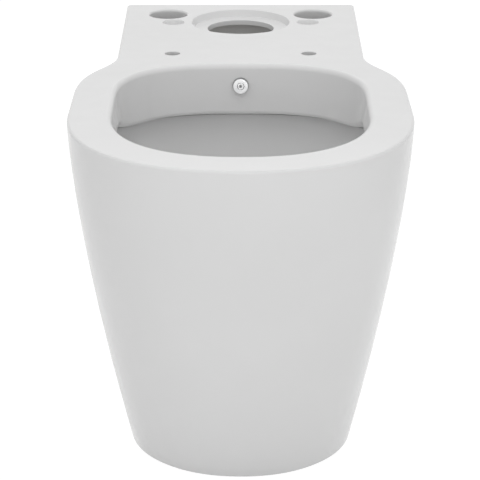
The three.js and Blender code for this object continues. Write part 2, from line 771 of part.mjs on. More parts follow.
// The whole casting: skirt, box rim, bowl, trap, inlet ways and every hole.
function ceramicPan() {
  const plan = mouthPlan();
  const shell = bodyShell();
  const jet = jetFrame().matrix;
  const half = JET_BOSS_WIDTH / 2;
  const boss = placed(block([-half, -half, -JET_BOSS_DEPTH], [half, half, -LIP_THICKNESS / 2]), jet);
  const outside = PAN_HEIGHT - TOP_PLATE + CUT;
  const bossTop = block(
    [-half, fromWall(MOUTH_REAR), PAN_HEIGHT - REAR_WALL_DROP + JET_SILL_RISE],
    [half, fromWall(DECK_HOLLOW_FRONT), outside],
  );
  let pan = shell.subtract(skirtHollow());
  pan = pan.add(bowlBody(plan, WALL).intersect(shell));
  pan = pan.add(swept(trapPath(0), TRAP_BORE / 2 + WALL, TRAP_STEPS, TRAP_QUARTER_STEPS)).add(spigot());
  pan = pan.add(inletWays(DUCT_WALL)).add(boss);
  pan = pan.subtract(mouthCut(plan)).subtract(bowlBody(plan, 0));
  pan = pan.subtract(rimChannel(plan).subtract(bossTop)).subtract(inletWays(0));
  pan = pan.subtract(swept(trapPath(CUT), TRAP_BORE / 2, TRAP_STEPS, TRAP_QUARTER_STEPS));
  pan = pan.subtract(deckCuts()).subtract(windowCut());
  pan = pan.subtract(placed(rod(JET_HOLE / 2, -JET_BOSS_DEPTH - CUT, CUT), jet));
  pan = pan.subtract(placed(rod(JET_PAD / 2, 0, CUT), jet));
  pan = pan.subtract(fixingCut(-1)).subtract(fixingCut(1));
  return geometryOf(pan);
}

// Jet heights along its axis, outward from the rim wall
const FLANGE_SEAT = GAP + SEAL_THICKNESS + GAP;
const FLANGE_FACE = FLANGE_SEAT + FLANGE_THICKNESS;
const REAR_SEAL_TOP = -JET_BOSS_DEPTH - GAP;
const SLIP_WASHER_TOP = REAR_SEAL_TOP - SEAL_THICKNESS - GAP;
const BACKNUT_TOP = SLIP_WASHER_TOP - SLIP_WASHER_THICKNESS - GAP;
const SHANK_END = -SHANK_LENGTH;
const CONE_SEAL_TOP = SHANK_END - GAP;
const TUBE_START = CONE_SEAL_TOP - CONE_SEAL_HEIGHT - GAP;
const CONE_NUT_TOP = SHANK_END + CONE_NUT_SKIRT;

// Flange and threaded shank in one turned piece, bored through, with a pocket for the insert.
function jetBody() {
  const pocket = INSERT_DIAMETER / 2 + GAP;
  const flange = FLANGE_DIAMETER / 2;
  const shank = SHANK_DIAMETER / 2;
  return geometryOf(turned([
    [SHANK_BORE / 2, SHANK_END], [shank - FLANGE_ROUND, SHANK_END], [shank, SHANK_END + FLANGE_ROUND],
    [shank, FLANGE_SEAT], [flange, FLANGE_SEAT], [flange, FLANGE_FACE - FLANGE_ROUND],
    [flange - FLANGE_ROUND / 3, FLANGE_FACE - FLANGE_ROUND / 3], [flange - FLANGE_ROUND, FLANGE_FACE],
    [pocket, FLANGE_FACE], [pocket, FLANGE_FACE - INSERT_DEPTH], [SHANK_BORE / 2, FLANGE_FACE - INSERT_DEPTH],
  ], ROUND_STEPS));
}

// Insert with the orifice: a throat that widens to the face.
function jetInsert() {
  const outer = INSERT_DIAMETER / 2;
  const bottom = FLANGE_FACE - INSERT_DEPTH + GAP;
  return geometryOf(turned([
    [ORIFICE_THROAT / 2, bottom], [outer, bottom], [outer, FLANGE_FACE - GAP], [outer - GAP, FLANGE_FACE],
    [ORIFICE_DIAMETER / 2, FLANGE_FACE], [ORIFICE_THROAT / 2, FLANGE_FACE - ORIFICE_DIAMETER],
  ], ROUND_STEPS));
}

function jetFlangeSeal() {
  return geometryOf(ring(SHANK_DIAMETER / 2 + GAP, SEAL_WIDTH / 2, GAP, GAP + SEAL_THICKNESS, ROUND_STEPS));
}

function jetRearSeal() {
  const bottom = REAR_SEAL_TOP - SEAL_THICKNESS;
  return geometryOf(ring(SHANK_DIAMETER / 2 + GAP, REAR_SEAL_WIDTH / 2, bottom, REAR_SEAL_TOP));
}

function jetSlipWasher() {
  const bottom = SLIP_WASHER_TOP - SLIP_WASHER_THICKNESS;
  return geometryOf(ring(SHANK_DIAMETER / 2 + GAP, REAR_SEAL_WIDTH / 2, bottom, SLIP_WASHER_TOP));
}

function jetBacknut() {
  const bottom = BACKNUT_TOP - BACKNUT_HEIGHT;
  const bore = rod(SHANK_DIAMETER / 2 + GAP, bottom - CUT, BACKNUT_TOP + CUT);
  return geometryOf(hexagon(BACKNUT_ACROSS_FLATS, bottom, BACKNUT_TOP).subtract(bore));
}

// Nut that screws over a threaded end and draws a tube against it. It opens upward.
function unionNut(acrossFlats, height, skirt, thread, tube) {
  const threaded = rod(thread / 2 + GAP, height - skirt, height + CUT);
  const neck = rod(tube / 2 + GAP, -CUT, height);
  return hexagon(acrossFlats, 0, height).subtract(threaded).subtract(neck);
}

function supplyConeNut() {
  const nut = unionNut(CONE_NUT_ACROSS_FLATS, CONE_NUT_HEIGHT, CONE_NUT_SKIRT + CONE_SEAL_HEIGHT + GAP * 3,
    SHANK_DIAMETER, TUBE_DIAMETER);
  return geometryOf(moved(nut, 0, 0, CONE_NUT_TOP - CONE_NUT_HEIGHT));
}

function supplyConeSeal() {
  const bottom = CONE_SEAL_TOP - CONE_SEAL_HEIGHT;
  return geometryOf(turned([
    [SHANK_BORE / 2, bottom], [SHANK_DIAMETER / 2, bottom], [SHANK_DIAMETER / 2 - GAP * 2, CONE_SEAL_TOP],
    [SHANK_BORE / 2, CONE_SEAL_TOP],
  ]));
}

// Rigid tube from the cone nut, down between the ducts, and across to the valve beside the trap.
function supplyTube() {
  const frame = jetFrame();
  const start = new THREE.Vector3(0, 0, TUBE_START).applyMatrix4(frame.matrix);
  const toward = new THREE.Vector3(0, 0, -1).transformDirection(frame.matrix);
  const back = fromWall(TUBE_BACK);
  const run = (back - start.y) / toward.y;
  const corners = [
    start,
    start.clone().addScaledVector(toward, run),
    new THREE.Vector3(0, back, TUBE_LEVEL),
    new THREE.Vector3(VALVE_OFFSET, back, TUBE_LEVEL),
    new THREE.Vector3(VALVE_OFFSET, back, VALVE_BASE + VALVE_LENGTH - SOCKET_DEPTH + GAP),
  ];
  const bore = TUBE_DIAMETER / 2 - TUBE_WALL;
  return geometryOf(swept(bentPath(corners, TUBE_BEND), TUBE_DIAMETER / 2, TUBE_STEPS, 4, bore));
}

// Body of the valve: inlet thread below, hexagon in the middle, tube socket above.
function valveHousing() {
  const hexBottom = INLET_LENGTH;
  const inlet = rod(INLET_THREAD / 2, 0, hexBottom + CUT, ROUND_STEPS);
  const middle = hexagon(VALVE_ACROSS_FLATS, hexBottom, VALVE_HEX_TOP);
  const outlet = rod(OUTLET_THREAD / 2, VALVE_HEX_TOP - CUT, VALVE_LENGTH);
  const bores = rod(CHAMBER_BORE / 2, -CUT, CHAMBER_TOP)
    .add(rod(PORT_BORE / 2, 0, VALVE_LENGTH))
    .add(rod(TUBE_DIAMETER / 2 + GAP, VALVE_LENGTH - SOCKET_DEPTH, VALVE_LENGTH + CUT));
  return geometryOf(inlet.add(middle).add(outlet).subtract(bores));
}

const SEAT_TOP = SEAT_BOTTOM + SEAT_HEIGHT;
const POPPET_FACE = SEAT_TOP + GAP;
const POPPET_BACK = POPPET_FACE + POPPET_THICKNESS;
const GUIDE_TOP = CHAMBER_TOP - GAP;
const GUIDE_BOTTOM = GUIDE_TOP - GUIDE_THICKNESS;

// Screwed-in seat with a groove round it for the seal ring.
function valveSeat() {
  const outer = CHAMBER_BORE / 2 - GAP;
  const groove = outer - SEAL_RING_WIRE - GAP;
  const middle = SEAT_BOTTOM + SEAT_HEIGHT / 2;
  const half = SEAL_RING_WIRE / 2 + GAP;
  return geometryOf(turned([
    [SEAT_BORE / 2, SEAT_BOTTOM], [outer, SEAT_BOTTOM], [outer, middle - half], [groove, middle - half],
    [groove, middle + half], [outer, middle + half], [outer, SEAT_TOP], [SEAT_BORE / 2, SEAT_TOP],
  ]));
}

function valveSealRing() {
  const wire = SEAL_RING_WIRE / 2;
  const torus = new THREE.TorusGeometry(CHAMBER_BORE / 2 - GAP - wire, wire, 8, SMALL_STEPS);
  torus.translate(0, 0, SEAT_BOTTOM + SEAT_HEIGHT / 2);
  return geometryOf(solid(torus));
}

// Poppet: a disc that closes the seat from above and a stem that runs in the guide.
function valvePoppet() {
  const disc = POPPET_DIAMETER / 2;
  const stem = POPPET_STEM / 2;
  const top = GUIDE_TOP + STEM_OVERHANG;
  return geometryOf(turned([
    [0, POPPET_FACE], [disc - GAP, POPPET_FACE], [disc, POPPET_FACE + GAP], [disc, POPPET_BACK],
    [stem, POPPET_BACK], [stem, top - GAP], [stem - GAP, top], [0, top],
  ]));
}

// Guide disc with a stem bore and a ring of water ports.
function valveGuide() {
  let guide = rod(CHAMBER_BORE / 2 - GAP, GUIDE_BOTTOM, GUIDE_TOP);
  guide = guide.subtract(rod(POPPET_STEM / 2 + GAP, GUIDE_BOTTOM - CUT, GUIDE_TOP + CUT));
  const reach = (POPPET_STEM / 2 + CHAMBER_BORE / 2) / 2;
  const port = rod(GUIDE_PORT / 2, GUIDE_BOTTOM - CUT, GUIDE_TOP + CUT, SMALL_STEPS / 2);
  for (let i = 0; i < 4; i += 1) {
    const angle = (i * Math.PI) / 2;
    guide = guide.subtract(moved(port, reach * Math.cos(angle), reach * Math.sin(angle), 0));
  }
  return geometryOf(guide);
}

// Helix of the spring between the poppet and the guide.
class Helix extends THREE.Curve {
  getPoint(share) {
    const angle = share * SPRING_TURNS * 2 * Math.PI;
    const radius = (SPRING_DIAMETER - SPRING_WIRE) / 2;
    const bottom = POPPET_BACK + GAP + SPRING_WIRE;
    const top = GUIDE_BOTTOM - GAP - SPRING_WIRE;
    const height = THREE.MathUtils.lerp(bottom, top, share);
    return new THREE.Vector3(radius * Math.cos(angle), radius * Math.sin(angle), height);
  }
}

function valveSpring() {
  return geometryOf(swept(new Helix(), SPRING_WIRE / 2, SPRING_TURNS * 10, 3));
}

function supplyCompressionNut() {
  const nut = unionNut(
    VALVE_NUT_ACROSS_FLATS, VALVE_NUT_HEIGHT, VALVE_NUT_SKIRT, OUTLET_THREAD, TUBE_DIAMETER,
  );
  const turn = new THREE.Matrix4().makeRotationX(Math.PI);
  turn.setPosition(0, 0, VALVE_LENGTH + VALVE_NUT_HEIGHT - VALVE_NUT_SKIRT + OLIVE_HEIGHT + GAP * 2);
  return geometryOf(placed(nut, turn));
}

function supplyOlive() {
  const inner = TUBE_DIAMETER / 2 + GAP;
  const outer = OUTLET_THREAD / 2 - GAP * 2;
  const bottom = VALVE_LENGTH + GAP;
  const top = bottom + OLIVE_HEIGHT;
  return geometryOf(turned([
    [inner, bottom], [inner + TUBE_WALL, bottom], [outer, (bottom + top) / 2],
    [inner + TUBE_WALL, top], [inner, top],
  ]));
}

// Flanged bush in the side hole.
function fixingBush() {
  const sleeve = SIDE_HOLE / 2 - GAP;
  const bore = SCREW_DIAMETER / 2 + GAP;
  const end = SPOT_DEPTH - WALL + GAP;
  return geometryOf(turned([
    [bore, end], [sleeve, end], [sleeve, GAP], [BUSH_FLANGE / 2, GAP],
    [BUSH_FLANGE / 2, GAP + BUSH_FLANGE_THICKNESS], [bore, GAP + BUSH_FLANGE_THICKNESS],
  ]));
}

const SCREW_SEAT = GAP + BUSH_FLANGE_THICKNESS + GAP;

// Slotted pan-head screw through the bush into the bracket's boss.
function fixingScrew() {
  const shank = SCREW_DIAMETER / 2;
  const head = SCREW_HEAD / 2;
  const top = SCREW_SEAT + SCREW_HEAD_HEIGHT;
  const screw = turned([
    [0, SCREW_SEAT - SCREW_LENGTH], [shank / 2, SCREW_SEAT - SCREW_LENGTH],
    [shank, SCREW_SEAT - SCREW_LENGTH + shank], [shank, SCREW_SEAT], [head, SCREW_SEAT],
    [head, top - SCREW_HEAD_HEIGHT / 3], [head * 0.8, top], [0, top],
  ]);
  const slot = block([-head, -SCREW_SLOT / 2, top - SCREW_SLOT_DEPTH], [head, SCREW_SLOT / 2, top + CUT]);
  return geometryOf(screw.subtract(slot));
}

// Domed cap that covers the bush and the screw head.
function fixingCap() {
  const outer = CAP_DIAMETER / 2;
  const inner = outer - CAP_WALL;
  const top = GAP + CAP_HEIGHT;
  return geometryOf(turned([
    [inner, GAP], [outer, GAP], [outer, top - CAP_WALL * 2], [outer * 0.93, top - CAP_WALL * 0.8],
    [outer * 0.7, top], [0, top], [0, top - CAP_WALL], [inner * 0.75, top - CAP_WALL],
    [inner, top - CAP_WALL * 2.5],
  ]));
}

// Angle bracket that stands on the floor inside the skirt and takes the side screw.
function fixingBracket(side) {
  const outer = BASE_WIDTH / 2 - FOOT_WIDTH - GAP * 2;
  const shape = new THREE.Shape();
  shape.moveTo(outer, 0);
  shape.lineTo(outer, BRACKET_HEIGHT);
  shape.lineTo(outer - BRACKET_PLATE, BRACKET_HEIGHT);
  shape.lineTo(outer - BRACKET_PLATE, BRACKET_PLATE);
  shape.lineTo(outer - BRACKET_FOOT, BRACKET_PLATE);
  shape.lineTo(outer - BRACKET_FOOT, 0);
  const angle = new THREE.ExtrudeGeometry(shape, { depth: BRACKET_WIDTH, bevelEnabled: false });
  const gusset = new THREE.Shape();
  gusset.moveTo(outer - CUT, 0);
  gusset.lineTo(outer - CUT, BRACKET_PLATE + BRACKET_RIB);
  gusset.lineTo(outer - BRACKET_PLATE, BRACKET_PLATE + BRACKET_RIB);
  gusset.lineTo(outer - BRACKET_PLATE - BRACKET_RIB, BRACKET_PLATE);
  gusset.lineTo(outer - BRACKET_PLATE - BRACKET_RIB, 0);
  let bracket = solid(angle);
  for (const place of [0, BRACKET_WIDTH - BRACKET_PLATE]) {
    const rib = new THREE.ExtrudeGeometry(gusset, { depth: BRACKET_PLATE, bevelEnabled: false });
    rib.translate(0, 0, place);
    bracket = bracket.add(solid(rib));
  }
  const stand = new THREE.Matrix4().makeRotationX(Math.PI / 2);
  stand.setPosition(0, fromWall(FIXING_DISTANCE) + BRACKET_WIDTH / 2, 0);
  bracket = placed(bracket, stand);
  const frame = fixingFrame(1).matrix;
  const wallInside = skirtHalf(FIXING_HEIGHT) - WALL;
  const face = skirtHalf(FIXING_HEIGHT) - SPOT_DEPTH;
  const bossTop = wallInside - GAP * 2 - face;
  const bossBottom = outer - BRACKET_PLATE - BRACKET_BOSS_LENGTH - face;
  bracket = bracket.add(placed(rod(BRACKET_BOSS / 2, bossBottom, bossTop), frame));
  bracket = bracket.subtract(placed(rod(SCREW_DIAMETER / 2 + GAP, bossBottom - CUT, bossTop + CUT), frame));
  const slotMiddle = outer - BRACKET_FOOT + BRACKET_SLOT;
  const slot = new THREE.Shape();
  const reach = (BRACKET_SLOT_LENGTH - BRACKET_SLOT) / 2;
  slot.absarc(0, reach, BRACKET_SLOT / 2, 0, Math.PI, false);
  slot.absarc(0, -reach, BRACKET_SLOT / 2, Math.PI, 2 * Math.PI, false);
  const cutter = new THREE.ExtrudeGeometry(slot, {
    depth: BRACKET_PLATE + CUT * 2, curveSegments: 8, bevelEnabled: false,
  });
  cutter.translate(slotMiddle, fromWall(FIXING_DISTANCE), -CUT);
  bracket = bracket.subtract(solid(cutter));
  if (side < 0) bracket = bracket.mirror([1, 0, 0]);
  return geometryOf(bracket);
}

const toilet = new THREE.Group();

function add(parent, name, geometry, material) {
  const mesh = new THREE.Mesh(geometry, material);
  mesh.name = name;
  parent.add(mesh);
}

// A group with the place and turn of a frame.
function groupAt(frame) {
  const group = new THREE.Group();
  group.position.copy(frame.position);
  group.rotation.copy(frame.rotation);
  toilet.add(group);
  return group;
}

add(toilet, "ceramic_pan", ceramicPan(), china);

const jet = groupAt(jetFrame());
add(jet, "jet_body", jetBody(), chrome);
add(jet, "jet_insert", jetInsert(), chrome);
add(jet, "jet_flange_seal", jetFlangeSeal(), rubber);
add(jet, "jet_rear_seal", jetRearSeal(), rubber);
add(jet, "jet_slip_washer", jetSlipWasher(), steel);
add(jet, "jet_backnut", jetBacknut(), brass);
add(jet, "supply_cone_nut", supplyConeNut(), brass);
add(jet, "supply_cone_seal", supplyConeSeal(), rubber);

add(toilet, "supply_tube", supplyTube(), copper);

const valve = new THREE.Group();
valve.position.set(VALVE_OFFSET, fromWall(TUBE_BACK), VALVE_BASE);
toilet.add(valve);
add(valve, "supply_compression_nut", supplyCompressionNut(), brass);
add(valve, "supply_olive", supplyOlive(), brass);
add(valve, "valve_housing", valveHousing(), brass);
add(valve, "valve_guide", valveGuide(), nylon);
add(valve, "valve_spring", valveSpring(), steel);
add(valve, "valve_poppet", valvePoppet(), nylon);
add(valve, "valve_seat", valveSeat(), brass);
add(valve, "valve_seal_ring", valveSealRing(), rubber);

for (const [side, word] of [[-1, "left"], [1, "right"]]) {
  const fixing = groupAt(fixingFrame(side));
  add(fixing, `fixing_bush_${word}`, fixingBush(), nylon);
  add(fixing, `fixing_screw_${word}`, fixingScrew(), steel);
  add(fixing, `fixing_cap_${word}`, fixingCap(), nylon);
  add(toilet, `fixing_bracket_${word}`, fixingBracket(side), steel);
}

export default toilet;
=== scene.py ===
"""Looks of a close-coupled back-to-wall toilet pan with a built-in bidet jet.

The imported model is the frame. The china casting, the jet, the supply pipe, the valve and the floor
fixings are dressed or modelled finer around it. Lengths are in metres, +Z is up, the bowl's front
faces -Y, and distances along the pan are measured forward from the wall face, as a fitter does.
"""

import logging
import math
from contextlib import contextmanager
from dataclasses import dataclass, field
from enum import Enum
from typing import Callable, Iterator, Optional, Sequence

import bpy
from mathutils import Matrix, Vector


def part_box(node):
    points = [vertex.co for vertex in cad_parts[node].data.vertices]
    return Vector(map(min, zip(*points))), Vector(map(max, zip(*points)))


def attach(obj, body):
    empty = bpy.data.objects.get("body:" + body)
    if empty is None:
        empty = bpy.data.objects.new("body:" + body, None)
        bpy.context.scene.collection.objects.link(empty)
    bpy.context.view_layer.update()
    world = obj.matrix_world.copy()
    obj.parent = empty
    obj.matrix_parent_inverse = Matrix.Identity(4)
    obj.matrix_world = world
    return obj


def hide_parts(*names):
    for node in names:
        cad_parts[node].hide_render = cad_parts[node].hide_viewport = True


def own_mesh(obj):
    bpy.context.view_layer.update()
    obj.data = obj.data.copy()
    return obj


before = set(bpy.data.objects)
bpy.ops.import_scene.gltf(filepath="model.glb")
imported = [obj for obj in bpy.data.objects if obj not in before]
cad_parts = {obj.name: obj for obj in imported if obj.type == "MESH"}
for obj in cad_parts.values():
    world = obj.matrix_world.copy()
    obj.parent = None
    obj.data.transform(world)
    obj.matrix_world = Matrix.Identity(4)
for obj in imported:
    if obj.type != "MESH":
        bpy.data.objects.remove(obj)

logging.basicConfig(level=logging.INFO, format="%(message)s")
log = logging.getLogger("toilet")

Pair = tuple[float, float]
Triple = tuple[float, float, float]
Ring = list[Vector]
Piece = bpy.types.Object
Material = bpy.types.Material
Socket = bpy.types.NodeSocket

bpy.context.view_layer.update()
PAN_BODY = "pan"
POPPET_BODY = "poppet"

# Gap that separate pieces keep, overrun of cutters, merge distance of doubled points, and a slight rounding
GAP = 0.0003
CUT = 0.002
MERGE = 0.000002
NICK = GAP * 0.4

# Facets round wire, pipes and the trap, and round small, middling and large turned forms
WIRE_SIDES, PIPE_SIDES, TRAP_SIDES = 10, 28, 40
SMALL_TURN, TURN, LARGE_TURN = 48, 64, 96

# Facets across a rounded quarter, along a pipe's bend and across an eased edge
ROUND_STEPS, BEND_STEPS, EASED_STEPS = 8, 12, 2

# Angles within which modelled facets are one face, CAD's facets are one face and shading runs smooth, and past
# which an edge is eased
TRUE_ANGLE, FLAT_ANGLE, SMOOTH_ANGLE, SHARP_ANGLE = (math.radians(angle) for angle in (0.05, 1.0, 32.0, 40.0))

# Plain white, for shaders that give light
WHITE = (1, 1, 1, 1)


class Join(Enum):
    """How one solid acts on another."""

    ADD = "UNION"
    CUT = "DIFFERENCE"
    COMMON = "INTERSECT"


# Modelling helpers


def clear_selection() -> None:
    """Leaves nothing selected."""
    bpy.ops.object.select_all(action="DESELECT")


def pick(piece: Piece) -> None:
    """Makes one piece the only selected and the active one.

    Args:
        piece: the piece.
    """
    clear_selection()
    piece.select_set(True)
    bpy.context.view_layer.objects.active = piece


@contextmanager
def editing(piece: Piece, part: str = "VERT") -> Iterator[None]:
    """Edit mode on one piece.

    Args:
        piece: the mesh to edit.
        part: what is selected in it, VERT, EDGE or FACE.

    Returns:
        A context in which operators act on that piece.
    """
    pick(piece)
    bpy.ops.object.mode_set(mode="EDIT")
    bpy.ops.mesh.select_mode(type=part)
    yield
    bpy.ops.object.mode_set(mode="OBJECT")


def named(name: str) -> Piece:
    """Names the object that was just added, and its mesh.

    Args:
        name: the piece's name.

    Returns:
        The object.
    """
    piece = bpy.context.view_layer.objects.active
    piece.name = name
    piece.data.name = name
    return piece


def close_up(piece: Piece) -> Piece:
    """Merges doubled points and turns all faces outwards.

    Args:
        piece: the mesh to close.

    Returns:
        The same piece.
    """
    with editing(piece):
        bpy.ops.mesh.select_all(action="SELECT")
        bpy.ops.mesh.remove_doubles(threshold=MERGE)
        bpy.ops.mesh.normals_make_consistent(inside=False)
    return piece


def net(name: str, rows: Sequence[Ring]) -> Piece:
    """A grid primitive with each of its points moved to its place.

    Args:
        name: the piece's name.
        rows: rows of points of one length.

    Returns:
        The open or doubled sheet, with loose seams where first and last points meet.
    """
    clear_selection()
    bpy.ops.mesh.primitive_grid_add(x_subdivisions=len(rows[0]) - 1, y_subdivisions=len(rows) - 1)
    piece = named(name)
    flat = [axis for row in rows for point in row for axis in point]
    piece.data.vertices.foreach_set("co", flat)
    piece.data.update()
    return piece


def middle_of(ring: Ring) -> Vector:
    """The mean of a ring's points."""
    return sum(ring, Vector()) / len(ring)


def rolled(name: str, rows: Sequence[Ring]) -> Piece:
    """A sheet closed across its rows, with its seams merged."""
    return close_up(net(name, [[*row, row[0]] for row in rows]))


def loft(name: str, rings: Sequence[Ring]) -> Piece:
    """A closed solid skinned over rings, with a fan at each end.

    Args:
        name: the piece's name.
        rings: closed rings of points, from one end to the other.

    Returns:
        The solid.
    """
    first, last = ([middle_of(ring)] * len(ring) for ring in (rings[0], rings[-1]))
    return rolled(name, [first, *rings, last])


def hoop(name: str, sections: Sequence[Ring]) -> Piece:
    """A closed ring whose section changes round it, from its outlines in order."""
    return rolled(name, [*sections, sections[0]])


def spun(name: str, outline: Sequence[Pair], steps: int = SMALL_TURN) -> Piece:
    """A turned piece round Z, spun from a closed outline.

    Args:
        name: the piece's name.
        outline: (radius, height) points of the section.
        steps: facets round the axis.

    Returns:
        The solid, standing on the Z axis.
    """
    clear_selection()
    bpy.ops.mesh.primitive_circle_add(vertices=len(outline), fill_type="NOTHING")
    piece = named(name)
    for vertex, (radius, height) in zip(piece.data.vertices, outline):
        vertex.co = Vector((radius, 0.0, height))
    with editing(piece):
        bpy.ops.mesh.select_all(action="SELECT")
        bpy.ops.mesh.spin(steps=steps, angle=2 * math.pi, center=(0, 0, 0), axis=(0, 0, 1))
    return close_up(piece)


def block(name: str, low: Sequence[float], high: Sequence[float]) -> Piece:
    """A block between two corners.

    Args:
        name: the piece's name.
        low: lowest corner.
        high: highest corner.

    Returns:
        The solid, with its place in its mesh.
    """
    clear_selection()
    bpy.ops.mesh.primitive_cube_add(size=1)
    piece = named(name)
    low_corner, high_corner = Vector(low), Vector(high)
    size = high_corner - low_corner
    middle = Matrix.Translation((low_corner + high_corner) / 2)
    piece.data.transform(middle @ Matrix.Diagonal((*size, 1)))
    return piece


def hexagon(name: str, across: float, low: float, high: float, slope: float) -> Piece:
    """A nut blank on the Z axis with chamfered corners.

    Args:
        name: the piece's name.
        across: width across the flats.
        low: lower end.
        high: upper end.
        slope: rise of its chamfers over their width.

    Returns:
        The solid.
    """
    corner = across / math.sqrt(3)
    clear_selection()
    bpy.ops.mesh.primitive_cylinder_add(vertices=6, radius=corner, depth=high - low)
    piece = named(name)
    piece.data.transform(Matrix.Translation((0, 0, (low + high) / 2)) @ Matrix.Rotation(math.pi / 6, 4, "Z"))
    chamfer = (corner - across / 2) * slope
    barrel = spun(name + "_barrel", [
        (0, low), (across / 2, low), (corner, low + chamfer),
        (corner, high - chamfer), (across / 2, high), (0, high),
    ])
    return combine(piece, barrel, Join.COMMON)


def moved(piece: Piece, matrix: Matrix) -> Piece:
    """Puts a piece in its place, in its mesh.

    Args:
        piece: the mesh to move.
        matrix: where it goes.

    Returns:
        The same piece.
    """
    piece.data.transform(matrix)
    piece.data.update()
    return piece


def at(x: float, y: float, z: float) -> Matrix:
    """A plain shift."""
    return Matrix.Translation((x, y, z))


def modified(piece: Piece, kind: str, **settings: object) -> Piece:
    """Applies a modifier to a piece.

    Args:
        piece: the mesh to work on.
        kind: the modifier's type.
        settings: its settings, by name.

    Returns:
        The same piece.
    """
    modifier = piece.modifiers.new(kind, kind)
    for name, value in settings.items():
        setattr(modifier, name, value)
    pick(piece)
    bpy.ops.object.modifier_apply(modifier=modifier.name)
    return piece


def combine(piece: Piece, other: Piece, how: Join) -> Piece:
    """Joins or cuts a solid with another, which is used up.

    Args:
        piece: the solid that stays.
        other: the solid that acts on it.
        how: join, cut or keep what both share.

    Returns:
        The first solid.
    """
    modified(piece, "BOOLEAN", operation=how.value, object=other, solver="MANIFOLD", material_mode="TRANSFER")
    bpy.data.objects.remove(other)
    return piece


def coated(piece: Piece, material: Material) -> Piece:
    """Gives a piece one material all over.

    Args:
        piece: the mesh to dress.
        material: its finish.

    Returns:
        The same piece.
    """
    piece.data.materials.clear()
    piece.data.materials.append(material)
    return piece


def turned(name: str, outline: Sequence[Pair], place: Matrix, finish: Material,
           steps: int = SMALL_TURN) -> Piece:
    """A turned solid in its place and finish.

    Args:
        name: the piece's name.
        outline: (radius, height) points of the section.
        place: where it goes from the Z axis.
        finish: its finish.
        steps: facets round the axis.

    Returns:
        The solid.
    """
    return coated(moved(spun(name, outline, steps), place), finish)


def eased_copy(node: str, name: str, width: float) -> Piece:
    """A piece that follows a CAD node, with its edges eased.

    Args:
        node: the node that it follows.
        name: the piece's name.
        width: size of the rounding on its edges.

    Returns:
        The piece, with the node's shape.
    """
    clear_selection()
    bpy.ops.mesh.primitive_cube_add(size=1)
    piece = named(name)
    piece.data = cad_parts[node].data.copy()
    piece.data.name = name
    piece.data.materials.clear()
    with editing(piece):
        bpy.ops.mesh.select_all(action="SELECT")
        bpy.ops.mesh.remove_doubles(threshold=MERGE)
        bpy.ops.mesh.dissolve_limited(angle_limit=FLAT_ANGLE)
    return modified(piece, "BEVEL", width=width, segments=EASED_STEPS, limit_method="ANGLE", angle_limit=SHARP_ANGLE)


def fitted(piece: Piece, node: str, body: str = PAN_BODY) -> None:
    """Shades a finished piece smooth, keeps its flat faces flat, and hands it to the frame.

    Args:
        piece: the finished piece.
        node: the CAD node that it stands for.
        body: the CAD body that it rides on.
    """
    pick(piece)
    bpy.ops.object.shade_smooth_by_angle(angle=SMOOTH_ANGLE)
    modified(piece, "WEIGHTED_NORMAL", keep_sharp=True)
    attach(piece, body)
    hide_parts(node)
    log.info("%s stands for %s: %d faces", piece.name, node, len(piece.data.polygons))


@dataclass(frozen=True)
class SmallPart:
    """A part that follows its CAD node, with eased edges."""

    node: str
    name: str
    material: Material
    slot: str
    easing: float
    body: str = PAN_BODY

    def build(self) -> None:
        """Models the part, dresses it and hands it to the frame."""
        piece = coated(eased_copy(self.node, self.name, self.easing), self.material)
        fitted(piece, self.node, self.body)


def blend(share: float, start: float, end: float) -> float:
    """A value between two others."""
    return start + (end - start) * share


def ease(value: float, low: float, high: float) -> float:
    """A smooth step from 0 to 1 between two values."""
    share = min(1.0, max(0.0, (value - low) / (high - low)))
    return share * share * (3 - 2 * share)


def quarter(steps: int = ROUND_STEPS, first: int = 1) -> list[Pair]:
    """Sine and cosine of the angles that part a right angle in even steps.

    Args:
        steps: how many steps there are.
        first: the step that the list starts with, 0 for the start of the angle.

    Returns:
        The (sine, cosine) pairs.
    """
    angles = (math.pi / 2 * i / steps for i in range(first, steps + 1))
    return [(math.sin(angle), math.cos(angle)) for angle in angles]


def thread(radius: float, depth: float, low: float, high: float, turns: int, rise: float,
           lead: float = 0.0) -> list[Pair]:
    """Outline of a threaded length.

    Args:
        radius: its outer radius.
        depth: how deep the thread is cut.
        low: lower end.
        high: upper end.
        turns: how many turns it has.
        rise: height of a crest over the foot of its turn.
        lead: share of a turn before the first foot.

    Returns:
        (radius, height) points, from the lower end to the upper one.
    """
    outline = []
    for i in range(turns):
        foot = low + (high - low) * (i + lead) / turns
        outline += [(radius - depth, foot), (radius, foot + rise)]
    return [*outline, (radius - depth, high)]


def spline(points: Sequence[Vector], count: int) -> list[Vector]:
    """Points on a smooth curve through others, evenly spread over its length.

    Args:
        points: the places that the curve passes.
        count: how many points to return.

    Returns:
        The points, both ends included.
    """
    ends = [points[0] * 2 - points[1], *points, points[-1] * 2 - points[-2]]
    fine = []
    for before, start, end, after in zip(ends, ends[1:], ends[2:], ends[3:]):
        first = math.sqrt((start - before).length)
        middle = math.sqrt((end - start).length)
        last = math.sqrt((after - end).length)
        leave = (start - before) / first - (end - before) / (first + middle) + (end - start) / middle
        arrive = (end - start) / middle - (after - start) / (middle + last) + (after - end) / last
        for i in range(count):
            t = i / count
            fine.append(
                start * (2 * t**3 - 3 * t**2 + 1) + leave * middle * (t**3 - 2 * t**2 + t)
                + end * (3 * t**2 - 2 * t**3) + arrive * middle * (t**3 - t**2)
            )
    fine.append(points[-1].copy())
    return respaced(fine, count)


